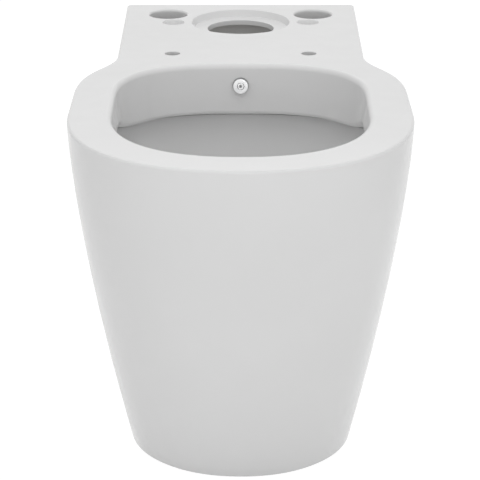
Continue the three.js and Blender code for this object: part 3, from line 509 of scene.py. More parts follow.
def respaced(points: Sequence[Vector], count: int) -> list[Vector]:
    """Points evenly spread along a chain of others.

    Args:
        points: the chain.
        count: how many points to return.

    Returns:
        The points, both ends included.
    """
    lengths = [0.0]
    for start, end in zip(points, points[1:]):
        lengths.append(lengths[-1] + (end - start).length)
    spread, i = [], 0
    for j in range(count):
        want = lengths[-1] * j / (count - 1)
        while i < len(points) - 2 and lengths[i + 1] < want:
            i += 1
        step = lengths[i + 1] - lengths[i]
        spread.append(points[i].lerp(points[i + 1], (want - lengths[i]) / step if step else 0.0))
    return spread


def piped(name: str, path: Sequence[Vector], radius: float, sides: int, bore: float = 0.0) -> Piece:
    """A round rod or pipe along a chain of points, its ends square to the chain.

    Args:
        name: the piece's name.
        path: the centre line.
        radius: outside radius.
        sides: facets round it.
        bore: inside radius, 0 for a solid rod.

    Returns:
        The solid.
    """
    last = len(path) - 1
    tangents = [(path[min(i + 1, last)] - path[max(i - 1, 0)]).normalized() for i in range(len(path))]
    across = tangents[0].orthogonal().normalized()
    frames = []
    for i, tangent in enumerate(tangents):
        if i:
            across = tangents[i - 1].rotation_difference(tangent) @ across
        frames.append((across.copy(), tangent.cross(across)))

    def around(size: float) -> list[Ring]:
        """Circles round every point of the path.

        Args:
            size: their radius.

        Returns:
            The circles, one ring of points for each.
        """
        angles = [2 * math.pi * k / sides for k in range(sides)]
        return [
            [point + (u * math.cos(a) + v * math.sin(a)) * size for a in angles]
            for point, (u, v) in zip(path, frames)
        ]

    outer = around(radius)
    return hoop(name, [*outer, *reversed(around(bore))]) if bore else loft(name, outer)


def bent(corners: Sequence[Vector], radius: float, count: int) -> list[Vector]:
    """Straight runs joined by round bends of one radius.

    Args:
        corners: ends and corners of the runs.
        radius: radius of each bend.
        count: how many points to return.

    Returns:
        The points along the route.
    """
    points = [corners[0].copy()]
    for before, corner, after in zip(corners, corners[1:], corners[2:]):
        back = (before - corner).normalized()
        on = (after - corner).normalized()
        reach = radius / math.tan(back.angle(on) / 2)
        start, end = corner + back * reach, corner + on * reach
        points += [
            start * (1 - t) ** 2 + corner * 2 * t * (1 - t) + end * t**2
            for t in (i / BEND_STEPS for i in range(BEND_STEPS + 1))
        ]
    points.append(corners[-1].copy())
    return respaced(points, count)


# Finishes


class Board:
    """Shader nodes of one material, added and linked by plain calls."""

    # Sockets of the Mix node in its colour mode: share, both colours and the result
    SHARE, FIRST, SECOND, RESULT = 0, 6, 7, 2

    def __init__(self, name: str) -> None:
        """Starts a material with its output and main shader.

        Args:
            name: the material's name.
        """
        self.material = bpy.data.materials.new(name)
        self.material.use_nodes = True
        self.tree = self.material.node_tree
        self.shader = self.tree.nodes["Principled BSDF"]
        self.place = self.tree.nodes.new("ShaderNodeTexCoord").outputs["Object"]

    def set(self, **values: object) -> None:
        """Sets sockets of the main shader, with _ for a space in their names."""
        for name, value in values.items():
            self.shader.inputs[name.replace("_", " ")].default_value = value

    def link(self, source: Socket, target: Socket) -> None:
        """Links two sockets."""
        self.tree.links.new(source, target)

    def stretched(self, scale: Sequence[float]) -> Socket:
        """The piece's place, scaled by axis.

        Args:
            scale: factor for each axis.

        Returns:
            The scaled place.
        """
        mapping = self.tree.nodes.new("ShaderNodeMapping")
        mapping.inputs["Scale"].default_value = scale
        self.link(self.place, mapping.inputs["Vector"])
        return mapping.outputs["Vector"]

    def noise(self, scale: float, detail: float = 2.0, place: Optional[Socket] = None,
              roughness: float = 0.5) -> Socket:
        """A noise pattern on the piece.

        Args:
            scale: pattern repeats in a metre.
            detail: octaves.
            place: where it is read, the piece's own place if left out.
            roughness: how strong the finer octaves are.

        Returns:
            The pattern, about 0 to 1.
        """
        node = self.tree.nodes.new("ShaderNodeTexNoise")
        node.inputs["Scale"].default_value = scale
        node.inputs["Detail"].default_value = detail
        node.inputs["Roughness"].default_value = roughness
        self.link(place or self.place, node.inputs["Vector"])
        return node.outputs["Fac"]

    def mapped(self, value: Socket, low: float, high: float,
               start: float = 0.35, end: float = 0.65) -> Socket:
        """A pattern fitted between two values.

        Args:
            value: the pattern.
            low: value at its start.
            high: value at its end.
            start: where in the pattern the change starts.
            end: where in the pattern the change ends.

        Returns:
            The fitted value.
        """
        node = self.tree.nodes.new("ShaderNodeMapRange")
        node.inputs["From Min"].default_value = start
        node.inputs["From Max"].default_value = end
        node.inputs["To Min"].default_value = low
        node.inputs["To Max"].default_value = high
        self.link(value, node.inputs["Value"])
        return node.outputs["Result"]

    def mixed(self, share: Socket, first: Triple, second: Triple) -> Socket:
        """Two colours mixed by a pattern.

        Args:
            share: the pattern, 0 for the first colour.
            first: colour at 0.
            second: colour at 1.

        Returns:
            The mixed colour.
        """
        node = self.tree.nodes.new("ShaderNodeMix")
        node.data_type = "RGBA"
        node.inputs[self.FIRST].default_value = (*first, 1.0)
        node.inputs[self.SECOND].default_value = (*second, 1.0)
        self.link(share, node.inputs[self.SHARE])
        return node.outputs[self.RESULT]

    def tint(self, pattern: Socket, tone: Triple, shade: Triple, **ends: float) -> None:
        """Colours the main shader with two tones, mixed by a pattern.

        Args:
            pattern: the pattern that mixes them.
            tone: the main colour.
            shade: the colour of the patches.
            ends: start and end of the change, where they aren't the usual ones.
        """
        share = self.mapped(pattern, 0.0, 1.0, **ends)
        self.link(self.mixed(share, tone, shade), self.shader.inputs["Base Color"])

    def dull(self, pattern: Socket, low: float, high: float) -> None:
        """Sets the main shader's roughness between two values, by a pattern."""
        self.link(self.mapped(pattern, low, high), self.shader.inputs["Roughness"])

    def bump(self, height: Socket, distance: float, strength: float = 1.0) -> None:
        """Adds relief to the main shader, on top of any that it has.

        Args:
            height: the relief's pattern.
            distance: its depth in metres.
            strength: share of it that shows.
        """
        node = self.tree.nodes.new("ShaderNodeBump")
        node.inputs["Strength"].default_value = strength
        node.inputs["Distance"].default_value = distance
        self.link(height, node.inputs["Height"])
        used = self.shader.inputs["Normal"].links
        if used:
            self.link(used[0].from_socket, node.inputs["Normal"])
        self.link(node.outputs["Normal"], self.shader.inputs["Normal"])


@dataclass(frozen=True)
class Glaze:
    """White vitreous glaze: glassy, faintly uneven, slightly cloudy in tone."""

    name: str = "white_glaze"
    tone: Triple = (0.803, 0.803, 0.803)
    cloud: Triple = (0.782, 0.782, 0.781)
    cloud_scale: float = 5.5
    roughness: Pair = (0.17, 0.24)
    roughness_scale: float = 38.0
    sheen: float = 0.22
    ripple: float = 0.00016
    ripple_scale: float = 16.0
    peel: float = 0.000012
    peel_scale: float = 420.0

    def material(self) -> Material:
        """Builds the finish.

        Returns:
            The material.
        """
        board = Board(self.name)
        board.tint(board.noise(self.cloud_scale, detail=3.0), self.tone, self.cloud)
        board.dull(board.noise(self.roughness_scale, detail=4.0), *self.roughness)
        board.set(Specular_IOR_Level=self.sheen)
        board.bump(board.noise(self.ripple_scale, detail=1.0), self.ripple)
        board.bump(board.noise(self.peel_scale, detail=1.0), self.peel)
        return board.material


@dataclass(frozen=True)
class BareClay:
    """Fired clay with no glaze, as inside the skirt: dull, warm and finely grained."""

    name: str = "bare_clay"
    tone: Triple = (0.715, 0.71, 0.70)
    shade: Triple = (0.615, 0.609, 0.597)
    patch_scale: float = 9.0
    roughness: Pair = (0.72, 0.9)
    roughness_scale: float = 60.0
    grain: float = 0.00016
    grain_scale: float = 700.0
    swell: float = 0.0006
    swell_scale: float = 45.0

    def material(self) -> Material:
        """Builds the finish.

        Returns:
            The material.
        """
        board = Board(self.name)
        board.tint(board.noise(self.patch_scale, detail=5.0, roughness=0.62), self.tone, self.shade)
        board.dull(board.noise(self.roughness_scale, detail=3.0), *self.roughness)
        board.bump(board.noise(self.grain_scale, detail=3.0), self.grain)
        board.bump(board.noise(self.swell_scale), self.swell, strength=0.5)
        return board.material


@dataclass(frozen=True)
class Metal:
    """A metal with its own colour, a drawn or turned grain and a little tarnish."""

    name: str
    tone: Triple
    tarnish: Triple
    polish: float
    grain: float = 0.00001
    grain_scale: Triple = (900.0, 900.0, 40.0)
    tarnish_scale: float = 120.0
    polish_scale: float = 260.0
    polish_spread: float = 1.6

    def material(self) -> Material:
        """Builds the finish.

        Returns:
            The material.
        """
        board = Board(self.name)
        stains = board.noise(self.tarnish_scale, detail=4.0, roughness=0.6)
        board.tint(stains, self.tone, self.tarnish, start=0.5, end=0.75)
        board.dull(board.noise(self.polish_scale, detail=3.0), self.polish, self.polish * self.polish_spread)
        board.set(Metallic=1.0)
        board.bump(board.noise(1.0, place=board.stretched(self.grain_scale)), self.grain)
        return board.material


@dataclass(frozen=True)
class Moulding:
    """A moulded plastic or rubber: even colour, soft sheen and a fine skin."""

    name: str
    tone: Triple
    shade: Triple
    roughness: float
    skin: float = 0.00003
    skin_scale: float = 900.0
    shade_scale: float = 70.0
    roughness_scale: float = 300.0
    roughness_spread: float = 1.3
    refraction: float = 1.5

    def material(self) -> Material:
        """Builds the finish.

        Returns:
            The material.
        """
        board = Board(self.name)
        board.tint(board.noise(self.shade_scale, detail=3.0), self.tone, self.shade)
        board.dull(board.noise(self.roughness_scale), self.roughness, self.roughness * self.roughness_spread)
        board.set(IOR=self.refraction)
        board.bump(board.noise(self.skin_scale), self.skin)
        return board.material


class Finishes:
    """Every finish of the object, built once."""

    def __init__(self) -> None:
        """Builds the materials."""
        self.glaze = Glaze().material()
        self.clay = BareClay().material()
        # The jet's chrome comes in two copies: a satin one, lighter than chrome, is a painted highlight on the face,
        # and a polished one, made dark, is painted shade on the sides that outlines the disc
        self.satin_lit_chrome = Metal(
            "satin_chrome_painted_highlight", (0.93, 0.935, 0.94), (0.90, 0.905, 0.91), polish=0.36, grain=0.000002).material()
        self.chrome = Metal(
            "polished_chrome_painted_shade", (0.40, 0.405, 0.41), (0.35, 0.355, 0.36), polish=0.06, grain=0.000001).material()
        self.brass = Metal("turned_brass", (0.72, 0.53, 0.25), (0.52, 0.36, 0.16), polish=0.24).material()
        self.copper = Metal("drawn_copper", (0.75, 0.40, 0.25), (0.46, 0.23, 0.14), polish=0.22).material()
        self.steel = Metal("stainless_steel", (0.58, 0.585, 0.59), (0.46, 0.46, 0.46), polish=0.26).material()
        self.zinc = Metal(
            "zinc_plate", (0.62, 0.63, 0.62), (0.50, 0.52, 0.52), polish=0.33, grain=0.00002,
            grain_scale=(300.0, 60.0, 300.0)).material()
        self.rubber = Moulding(
            "black_rubber", (0.022, 0.022, 0.023), (0.035, 0.034, 0.033), roughness=0.55).material()
        self.acetal = Moulding("natural_acetal", (0.74, 0.73, 0.69), (0.68, 0.67, 0.63), roughness=0.36).material()
        self.nylon = Moulding("white_nylon", (0.70, 0.70, 0.68), (0.64, 0.64, 0.62), roughness=0.42).material()
        self.cap = Moulding(
            "white_cap_plastic", (0.79, 0.79, 0.785), (0.77, 0.77, 0.76), roughness=0.16,
            skin=0.000008).material()


# China casting


def squared_quarter(half: float, centre: float, reach: float, exponent: float, steps: int) -> list[Pair]:
    """A quarter of a squared ellipse in plan.

    Args:
        half: half width that it ends at.
        centre: distance from the wall of its widest place.
        reach: how far its tip lies from there, less than 0 for a tip towards the wall.
        exponent: 2 for an ellipse, more for a squarer one.
        steps: how many steps it has.

    Returns:
        (x, distance from the wall) points, from the tip on the middle line to the full half width.
    """
    power = 2 / exponent
    points = [(0.0, centre + reach)]
    for i in range(1, steps + 1):
        angle = math.pi / 2 * (1 - i / steps)
        points.append((half * math.cos(angle) ** power, centre + reach * math.sin(angle) ** power))
    return points


@dataclass
class Outline:
    """Plan of the body, from the nose round the shoulders to the wall."""

    width: float
    length: float
    nose_length: float
    nose_exponent: float
    shoulder_width: float
    shoulder_front: float
    front_pull: float
    shoulder_rear: float
    rear_pull: float
    deck_width: float
    corner: float = 0.004
    nose_steps: int = 40
    side_steps: int = 12
    shoulder_steps: int = 28
    deck_steps: int = 6
    corner_steps: int = 6

    def half(self, inset: float) -> list[Pair]:
        """Half of the outline, drawn in by a wall thickness.

        Args:
            inset: how far it is drawn in.

        Returns:
            (x, distance from the wall) points, from the nose tip to the middle of the rear edge.
        """
        side, shoulder, deck = (w / 2 - inset for w in (self.width, self.shoulder_width, self.deck_width))
        nose_centre = self.length - self.nose_length
        points = squared_quarter(side, nose_centre, self.nose_length - inset, self.nose_exponent, self.nose_steps)
        for i in range(1, self.side_steps + 1):
            share = i / self.side_steps
            points.append((blend(share, side, shoulder), blend(share, nose_centre, self.shoulder_front)))
        for i in range(1, self.shoulder_steps + 1):
            t = i / self.shoulder_steps
            weights = ((1 - t) ** 3, 3 * t * (1 - t) ** 2, 3 * t**2 * (1 - t), t**3)
            widths = (shoulder, shoulder, deck, deck)
            places = (self.shoulder_front, self.shoulder_front - self.front_pull,
                      self.shoulder_rear + self.rear_pull, self.shoulder_rear)
            points.append(tuple(sum(w * v for w, v in zip(weights, values)) for values in (widths, places)))
        for i in range(1, self.deck_steps + 1):
            points.append((deck, blend(i / self.deck_steps, self.shoulder_rear, inset + self.corner)))
        points += [
            (deck - self.corner * (1 - cosine), inset + self.corner * (1 - sine))
            for sine, cosine in quarter(self.corner_steps)
        ]
        return [*points, (0.0, inset)]


def both_sides(half: Sequence[Pair]) -> list[Pair]:
    """A half outline with its mirror image, as one closed ring."""
    return [*half, *[(-x, d) for x, d in reversed(half[1:-1])]]


@dataclass
class MouthPoint:
    """A place on the mouth's plan and the way out from it."""

    x: float
    distance: float
    out: Pair


@dataclass
class ChinaCasting:
    """The fired body: skirt, box rim, bowl, trap, inlet ways and the deck's holes."""

    finishes: Finishes
    wall: float = 0.011
    top_plate: float = 0.014
    edge_radius: float = 0.003
    foot_width: float = 0.015
    foot_height: float = 0.012
    foot_chamfer: float = 0.002
    taper_exponent: float = 1.34
    rim_width: float = 0.052
    mouth_width: float = 0.267
    mouth_nose_length: float = 0.154
    mouth_nose_exponent: float = 2.32
    mouth_rear: float = 0.2805
    mouth_rear_length: float = 0.120
    mouth_rear_exponent: float = 2.66
    mouth_edge: float = 0.0065
    rear_wall_drop: float = 0.0582
    side_wall_drop: float = 0.0285
    lip_blend: Pair = (0.313, 0.441)
    lip_radius: float = 0.006
    wall_lean: float = 0.004
    lip_thickness: float = 0.009
    channel_reach: float = 0.028
    channel_rise: float = 0.009
    channel_drop: float = 0.0038
    undercut: float = 0.014
    sump_centre: float = 0.392
    sump_radius: float = 0.042
    sump_top: float = 0.110
    sump_floor: float = 0.056
    bowl_exponent: float = 1.3
    trap_bore: float = 0.072
    trap_entry: float = 0.092
    trap_crest: float = 0.222
    trap_crest_distance: float = 0.225
    spigot_diameter: float = 0.102
    spigot_length: float = 0.055
    spigot_setback: float = 0.015
    spigot_height: float = 0.180
    hollow_start: float = 0.25
    hollow_front_drop: float = 0.067
    deck_hollow_front: float = 0.243
    window_width: float = 0.184
    window_floor: float = 0.042
    window_drop: float = 0.100
    window_radius: float = 0.045
    inlet_distance: float = 0.085
    inlet_diameter: float = 0.0785
    recess_diameter: float = 0.117
    recess_floor_diameter: float = 0.111
    recess_depth: float = 0.008
    bolt_diameter: float = 0.0446
    bolt_round: float = 0.0032
    bolt_spacing: float = 0.175
    bolt_distance: float = 0.0475
    blind_diameter: float = 0.027
    blind_floor_diameter: float = 0.020
    blind_spacing: float = 0.1605
    blind_distance: float = 0.0885
    blind_depth: float = 0.0068
    hinge_diameter: float = 0.017
    hinge_spacing: float = 0.155
    hinge_distance: float = 0.232
    hole_round: float = 0.0012
    chamber_diameter: float = 0.096
    chamber_depth: float = 0.083
    duct_bore: float = 0.034
    duct_wall: float = 0.009
    duct_halves: Pair = (0.026, 0.040)
    duct_distances: Triple = (0.108, 0.185, 0.262)
    duct_drops: Pair = (0.056, 0.038)
    jet_drop: float = 0.0241
    jet_hole: float = 0.0135
    jet_pad: float = 0.021
    jet_boss_width: float = 0.034
    jet_boss_depth: float = 0.048
    jet_sill_rise: float = 0.004
    fixing_distance: float = 0.120
    fixing_height: float = 0.045
    fixing_hole: float = 0.016
    fixing_spot: float = 0.025
    fixing_spot_depth: float = 0.002
    mouth_steps: int = 40
    mouth_edge_steps: int = 12
    mouth_wall_steps: int = 4
    flank_steps: int = 16
    hole_steps: int = 6
    trap_steps: int = 56
    duct_steps: int = 20
    hollow_rings: int = 8
    skirt_rings: int = 26
    bowl_rings: int = 26
    top: Outline = field(init=False)
    base: Outline = field(init=False)
    height: float = field(init=False)
    length: float = field(init=False)

    def __post_init__(self) -> None:
        """Takes the overall sizes from the frame and sets out both plans."""
        low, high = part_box("ceramic_pan")
        self.height = high.z - low.z
        self.length = high.y - low.y
        self.top = Outline(
            width=high.x - low.x, length=self.length, nose_length=0.1963, nose_exponent=2.25,
            shoulder_width=0.3577, shoulder_front=0.3958, front_pull=0.0978, shoulder_rear=0.2388,
            rear_pull=0.0598, deck_width=0.2785,
        )
        self.base = Outline(
            width=0.245, length=0.508, nose_length=0.1313, nose_exponent=2.09,
            shoulder_width=0.245, shoulder_front=0.318, front_pull=0.0215, shoulder_rear=0.2388,
            rear_pull=0.0215, deck_width=0.245,
        )

    def y(self, distance: float) -> float:
        """Y of a place that lies a distance forward of the wall face."""
        return self.length / 2 - distance

    def taper(self, height: float) -> float:
        """How far the skirt has drawn in from the rim's plan, 0, to the foot's plan, 1."""
        start = self.height - self.edge_radius
        return min(1.0, max(0.0, (start - height) / start)) ** self.taper_exponent

    def body_ring(self, height: float, inset: float, placed: Optional[float] = None) -> Ring:
        """Ring of the outside at a height.

        Args:
            height: where on the taper the ring is taken.
            inset: how far it is drawn in.
            placed: the height that it is put at, if that is another one.

        Returns:
            The ring's points.
        """
        share = self.taper(height)
        half = [
            (blend(share, x, base_x), blend(share, d, base_d))
            for (x, d), (base_x, base_d) in zip(self.top.half(inset), self.base.half(inset))
        ]
        level = height if placed is None else placed
        return [Vector((x, self.y(d), level)) for x, d in both_sides(half)]

    def outside(self) -> Piece:
        """The body's outside: foot chamfer, tapering skirt and rounded top edge.

        Returns:
            The solid.
        """
        edge, start = self.edge_radius, self.height - self.edge_radius
        rings = [self.body_ring(0, self.foot_chamfer), self.body_ring(self.foot_chamfer, 0)]
        rings += [self.body_ring(start * i / self.skirt_rings, 0) for i in range(1, self.skirt_rings + 1)]
        rings += [self.body_ring(start + edge * sine, edge * (1 - cosine)) for sine, cosine in quarter()]
        return coated(loft("china_body", rings), self.finishes.glaze)

    def hollow(self) -> Piece:
        """The open space inside the skirt, high behind the bowl and lower under the rim.

        Returns:
            The cutter.
        """
        ceiling = self.height - self.top_plate
        rings = [
            self.body_ring(0, self.foot_width, -CUT),
            self.body_ring(self.foot_height, self.foot_width),
            self.body_ring(self.foot_height + self.foot_width - self.wall, self.wall),
        ]
        for i in range(1, self.hollow_rings + 1):
            rings.append(self.body_ring(blend(i / self.hollow_rings, self.hollow_start, 1) * ceiling, self.wall))
        low = (-self.top.width, -self.length, self.height - self.hollow_front_drop)
        high = (self.top.width, self.y(self.deck_hollow_front), self.height)
        space = combine(loft("hollow", rings), block("hollow_step", low, high), Join.CUT)
        return coated(space, self.finishes.clay)

    def mouth_plan(self) -> list[MouthPoint]:
        """Plan of the mouth's wall, from the front tip round and back.

        Returns:
            Its places, each with the way out from it.
        """
        half = self.mouth_width / 2
        nose_centre = self.length - self.rim_width - self.mouth_nose_length
        rear_centre = self.mouth_rear + self.mouth_rear_length
        points = squared_quarter(
            half, nose_centre, self.mouth_nose_length, self.mouth_nose_exponent, self.mouth_steps)
        points += [(half, blend(i / self.flank_steps, nose_centre, rear_centre)) for i in range(1, self.flank_steps)]
        points += reversed(squared_quarter(
            half, rear_centre, -self.mouth_rear_length, self.mouth_rear_exponent, self.mouth_steps))
        ring = both_sides(points)
        plan = []
        for i, (x, d) in enumerate(ring):
            (x0, d0), (x1, d1) = ring[i - 1], ring[(i + 1) % len(ring)]
            along = math.hypot(x1 - x0, d1 - d0)
            plan.append(MouthPoint(x, d, ((d0 - d1) / along, (x1 - x0) / along)))
        return plan

    def lip_height(self, distance: float) -> float:
        """Height of the rim wall's lower lip: deep at the rear, shallow at the sides and front."""
        drop = blend(ease(distance, *self.lip_blend), self.rear_wall_drop, self.side_wall_drop)
        return self.height - drop

    def beside(self, point: MouthPoint, offset: float, level: float) -> Vector:
        """A place that lies out from the mouth's plan, at a height."""
        return Vector((point.x + point.out[0] * offset, self.y(point.distance + point.out[1] * offset), level))

    def mouth_ring(self, plan: Sequence[MouthPoint], offset: float, level: Callable[[float], float]) -> Ring:
        """Ring round the mouth, at heights that go by the distance from the wall."""
        return [self.beside(point, offset, level(point.distance)) for point in plan]

    def mouth(self, plan: Sequence[MouthPoint]) -> Piece:
        """Cutter from the rounded top edge down the leaning wall to the rounded lip.

        Args:
            plan: the mouth's plan.

        Returns:
            The cutter.
        """
        lip, lean, edge, top = self.lip_radius, self.wall_lean, self.mouth_edge, self.height
        rings = [self.mouth_ring(plan, lip - lean, lambda d: self.lip_height(d) - CUT * 2)]
        for sine, cosine in quarter(first=0):
            inward, up = lip * (1 - sine), lip * (1 - cosine)
            rings.append(self.mouth_ring(plan, inward - lean, lambda d: self.lip_height(d) + up))
        for i in range(1, self.mouth_wall_steps):
            share = i / self.mouth_wall_steps
            rings.append(self.mouth_ring(
                plan, lean * (share - 1), lambda d: blend(share, self.lip_height(d) + lip, top - edge)))
        for sine, cosine in quarter(self.mouth_edge_steps, first=0):
            level = top - edge * (1 - sine)
            rings.append(self.mouth_ring(plan, edge * (1 - cosine), lambda d: level))
        rings.append(self.mouth_ring(plan, edge, lambda d: top + CUT))
        return coated(loft("mouth", rings), self.finishes.glaze)

    def rim_channel(self, plan: Sequence[MouthPoint]) -> Piece:
        """Water channel of the box rim, open to the bowl under the lip, less the jet's boss.

        Args:
            plan: the mouth's plan.

        Returns:
            The cutter.
        """
        ceiling, inner, outer = self.height - self.top_plate, self.lip_thickness, self.channel_reach
        sections = []
        for point in plan:
            lip = self.lip_height(point.distance)
            sill = lip - self.channel_drop
            section = (
                (inner, sill), (self.undercut, sill), (outer, lip + self.channel_rise), (outer, ceiling),
                (inner, ceiling),
            )
            sections.append([self.beside(point, reach, level) for reach, level in section])
        half = self.jet_boss_width / 2
        low = (-half, self.y(self.mouth_rear), self.lip_height(0) + self.jet_sill_rise)
        boss = block("boss_top", low, (half, self.y(self.deck_hollow_front), ceiling + CUT))
        return coated(combine(hoop("rim_channel", sections), boss, Join.CUT), self.finishes.glaze)

    def bowl(self, plan: Sequence[MouthPoint], thickness: float) -> Piece:
        """The bowl below the rim and its round sump.

        Args:
            plan: the mouth's plan.
            thickness: wall added for the bowl's outside, 0 for its inside.

        Returns:
            The solid.
        """
        middle = (self.mouth_rear + self.length - self.rim_width) / 2
        floor, radius = self.sump_floor - thickness, self.sump_radius + thickness
        angles = [math.atan2(point.distance - middle, point.x) for point in plan]

        def sump(size: float, level: float) -> Ring:
            """Ring of the round sump, its points in line with the mouth's.

            Args:
                size: its radius.
                level: its height.

            Returns:
                The ring's points.
            """
            return [
                Vector((size * math.cos(angle), self.y(self.sump_centre + size * math.sin(angle)), level))
                for angle in angles
            ]

        full = sump(radius, self.sump_top)
        rim = self.mouth_ring(plan, self.undercut + thickness, self.lip_height)
        rings = [sump(radius * sine, blend(1 - cosine, floor, self.sump_top)) for sine, cosine in quarter()[:-1]]
        for i in range(self.bowl_rings + 1):
            stage = 1 - i / self.bowl_rings
            draw = stage**self.bowl_exponent
            rings.append([
                Vector((*start.lerp(end, draw).xy, blend(stage, start.z, self.sump_top)))
                for start, end in zip(rim, full)
            ])
        return coated(loft("bowl", rings), self.finishes.clay if thickness else self.finishes.glaze)

    def trap(self, thickness: float, overrun: float, finish: Material) -> Piece:
        """The trap, out of the sump, up over the crest and back to the spigot.

        Args:
            thickness: wall added for its outside, 0 for its bore.
            overrun: how far it passes the spigot's end.
            finish: its finish.

        Returns:
            The solid.
        """
        bore, sump, outlet = self.trap_bore, self.sump_radius, self.spigot_setback + self.spigot_length
        climb, rise, outlet_rise = sump * 2.4, bore / 2, bore / 14
        crest_front, crest_back, crest_fall = bore / 4, bore / 3, bore / 9
        places = (
            (self.sump_centre, self.trap_entry),
            (self.sump_centre - sump, self.trap_entry - CUT),
            (self.sump_centre - climb, self.trap_entry + rise),
            (self.trap_crest_distance + crest_front, self.trap_crest - crest_fall),
            (self.trap_crest_distance - crest_back, self.trap_crest),
            (outlet + self.spigot_length, self.spigot_height + outlet_rise),
            (outlet, self.spigot_height),
            (self.spigot_setback - overrun, self.spigot_height),
        )
        path = spline([Vector((0, self.y(d), h)) for d, h in places], self.trap_steps)
        return coated(piped("trap", path, bore / 2 + thickness, TRAP_SIDES), finish)

    def spigot(self) -> Piece:
        """The outlet that the pan connector grips, with an eased end.

        Returns:
            The solid.
        """
        radius, end, turn = self.spigot_diameter / 2, self.spigot_length, CUT * 0.3
        outline = [(0, 0), (radius - CUT, 0), (radius - turn, turn), (radius, CUT), (radius, end), (0, end)]
        place = at(0, self.y(self.spigot_setback), self.spigot_height) @ Matrix.Rotation(math.pi / 2, 4, "X")
        return turned("spigot", outline, place, self.finishes.clay, TURN)

    def inlet_ways(self, thickness: float) -> list[Piece]:
        """Water chamber under the cistern inlet and the two ducts that leave it.

        Args:
            thickness: wall added for their outsides, 0 for their bores.

        Returns:
            The three solids.
        """
        clay, ceiling = self.finishes.clay, self.height - self.top_plate
        floor = self.height - self.chamber_depth - thickness
        radius, turn_in = self.chamber_diameter / 2 + thickness, self.duct_bore / 2
        outline = [(0, floor)]
        outline += [
            (radius - turn_in * (1 - sine), floor + turn_in * (1 - cosine)) for sine, cosine in quarter(first=0)
        ]
        outline += [(radius, ceiling), (0, ceiling)]
        ways = [turned("chamber", outline, at(0, self.y(self.inlet_distance), 0), clay, TURN)]
        start, end = (self.height - drop for drop in self.duct_drops)
        near, far = self.duct_halves
        places = list(zip((near, far, far), self.duct_distances, (start, (start + end) / 2, end)))
        for side in (-1, 1):
            path = spline([Vector((side * x, self.y(d), level)) for x, d, level in places], self.duct_steps)
            ways.append(coated(piped("duct", path, self.duct_bore / 2 + thickness, PIPE_SIDES), clay))
        return ways

    def hole(self, name: str, diameter: float, x: float, distance: float, soft: float) -> Piece:
        """Cutter for a round hole through the deck, its top edge softened by the glaze.

        Args:
            name: the cutter's name.
            diameter: the hole's diameter.
            x: its place across the deck.
            distance: its place from the wall.
            soft: radius of its top edge.

        Returns:
            The cutter.
        """
        radius, top, bottom = diameter / 2, self.height, self.height - self.top_plate - CUT
        outline = [(0, bottom), (radius, bottom), (radius, top - soft)]
        outline += [
            (radius + soft * (1 - cosine), top - soft * (1 - sine)) for sine, cosine in quarter(self.hole_steps)
        ]
        outline += [(radius + soft, top + CUT), (0, top + CUT)]
        return turned(name, outline, at(x, self.y(distance), 0), self.finishes.glaze, TURN)

    def deck_cuts(self) -> list[Piece]:
        """Cutters for the recessed inlet, the bolt and hinge holes and the blind recesses.

        Returns:
            The cutters.
        """
        top, soft = self.height, self.hole_round
        bottom, floor = top - self.top_plate - CUT, top - self.recess_depth
        rim, flat, bore = self.recess_diameter / 2, self.recess_floor_diameter / 2, self.inlet_diameter / 2
        turn, half, roll = soft * 0.3, soft * 0.5, soft * 0.8
        outline = [
            (0, bottom), (bore, bottom), (bore, floor - soft), (bore + turn, floor - turn), (bore + soft, floor),
            (flat - soft, floor), (flat - turn, floor + turn), (flat, floor + soft), (rim - half, top - soft),
            (rim, top - turn), (rim + roll, top), (rim + roll, top + CUT), (0, top + CUT),
        ]
        cuts = [turned("inlet", outline, at(0, self.y(self.inlet_distance), 0), self.finishes.glaze, LARGE_TURN)]
        for side in (-1, 1):
            bolt, hinge = side * self.bolt_spacing / 2, side * self.hinge_spacing / 2
            cuts.append(self.hole("bolt_hole", self.bolt_diameter, bolt, self.bolt_distance, self.bolt_round))
            cuts.append(self.hole("hinge_hole", self.hinge_diameter, hinge, self.hinge_distance, soft))
            cuts.append(self.blind_recess(side))
        return cuts

    def blind_recess(self, side: int) -> Piece:
        """Cutter for a shallow dished recess in front of a bolt hole.

        Args:
            side: -1 for the left one, 1 for the right one.

        Returns:
            The cutter.
        """
        top, rim, flat = self.height, self.blind_diameter / 2, self.blind_floor_diameter / 2
        outline = [(0, top - self.blind_depth)]
        for share in (i / ROUND_STEPS for i in range(ROUND_STEPS + 1)):
            outline.append((blend(share, flat, rim), top - self.blind_depth * (1 - ease(share, 0, 1))))
        outline += [(rim, top + CUT), (0, top + CUT)]
        place = at(side * self.blind_spacing / 2, self.y(self.blind_distance), 0)
        return turned("blind_recess", outline, place, self.finishes.glaze)

    def window(self) -> Piece:
        """Cutter for the opening in the back of the skirt, with round upper corners.

        Returns:
            The cutter.
        """
        half, top = self.window_width / 2, self.height - self.window_drop
        piece = block("window", (-half, self.y(self.wall + CUT), self.window_floor), (half, self.y(-CUT), top))
        with editing(piece, "EDGE"):
            bpy.ops.mesh.select_all(action="DESELECT")
        for edge in piece.data.edges:
            first, last = (piece.data.vertices[v].co for v in edge.vertices)
            edge.select = all(abs(end.z - top) < MERGE for end in (first, last)) and abs(first.x - last.x) < MERGE
        with editing(piece, "EDGE"):
            bpy.ops.mesh.bevel(offset=self.window_radius, segments=BEND_STEPS, affect="EDGES")
        return coated(piece, self.finishes.clay)

    def jet_place(self) -> Matrix:
        """Place of the jet on the rim wall.

        Returns:
            Its origin on the wall, with +Z out of it.
        """
        top = self.height - self.mouth_edge
        bottom = self.height - self.rear_wall_drop + self.lip_radius
        slope = self.wall_lean / (top - bottom)
        level = self.height - self.jet_drop
        distance = self.mouth_rear + (top - level) * slope
        return at(0, self.y(distance), level) @ Matrix.Rotation(math.pi / 2 - math.atan(slope), 4, "X")

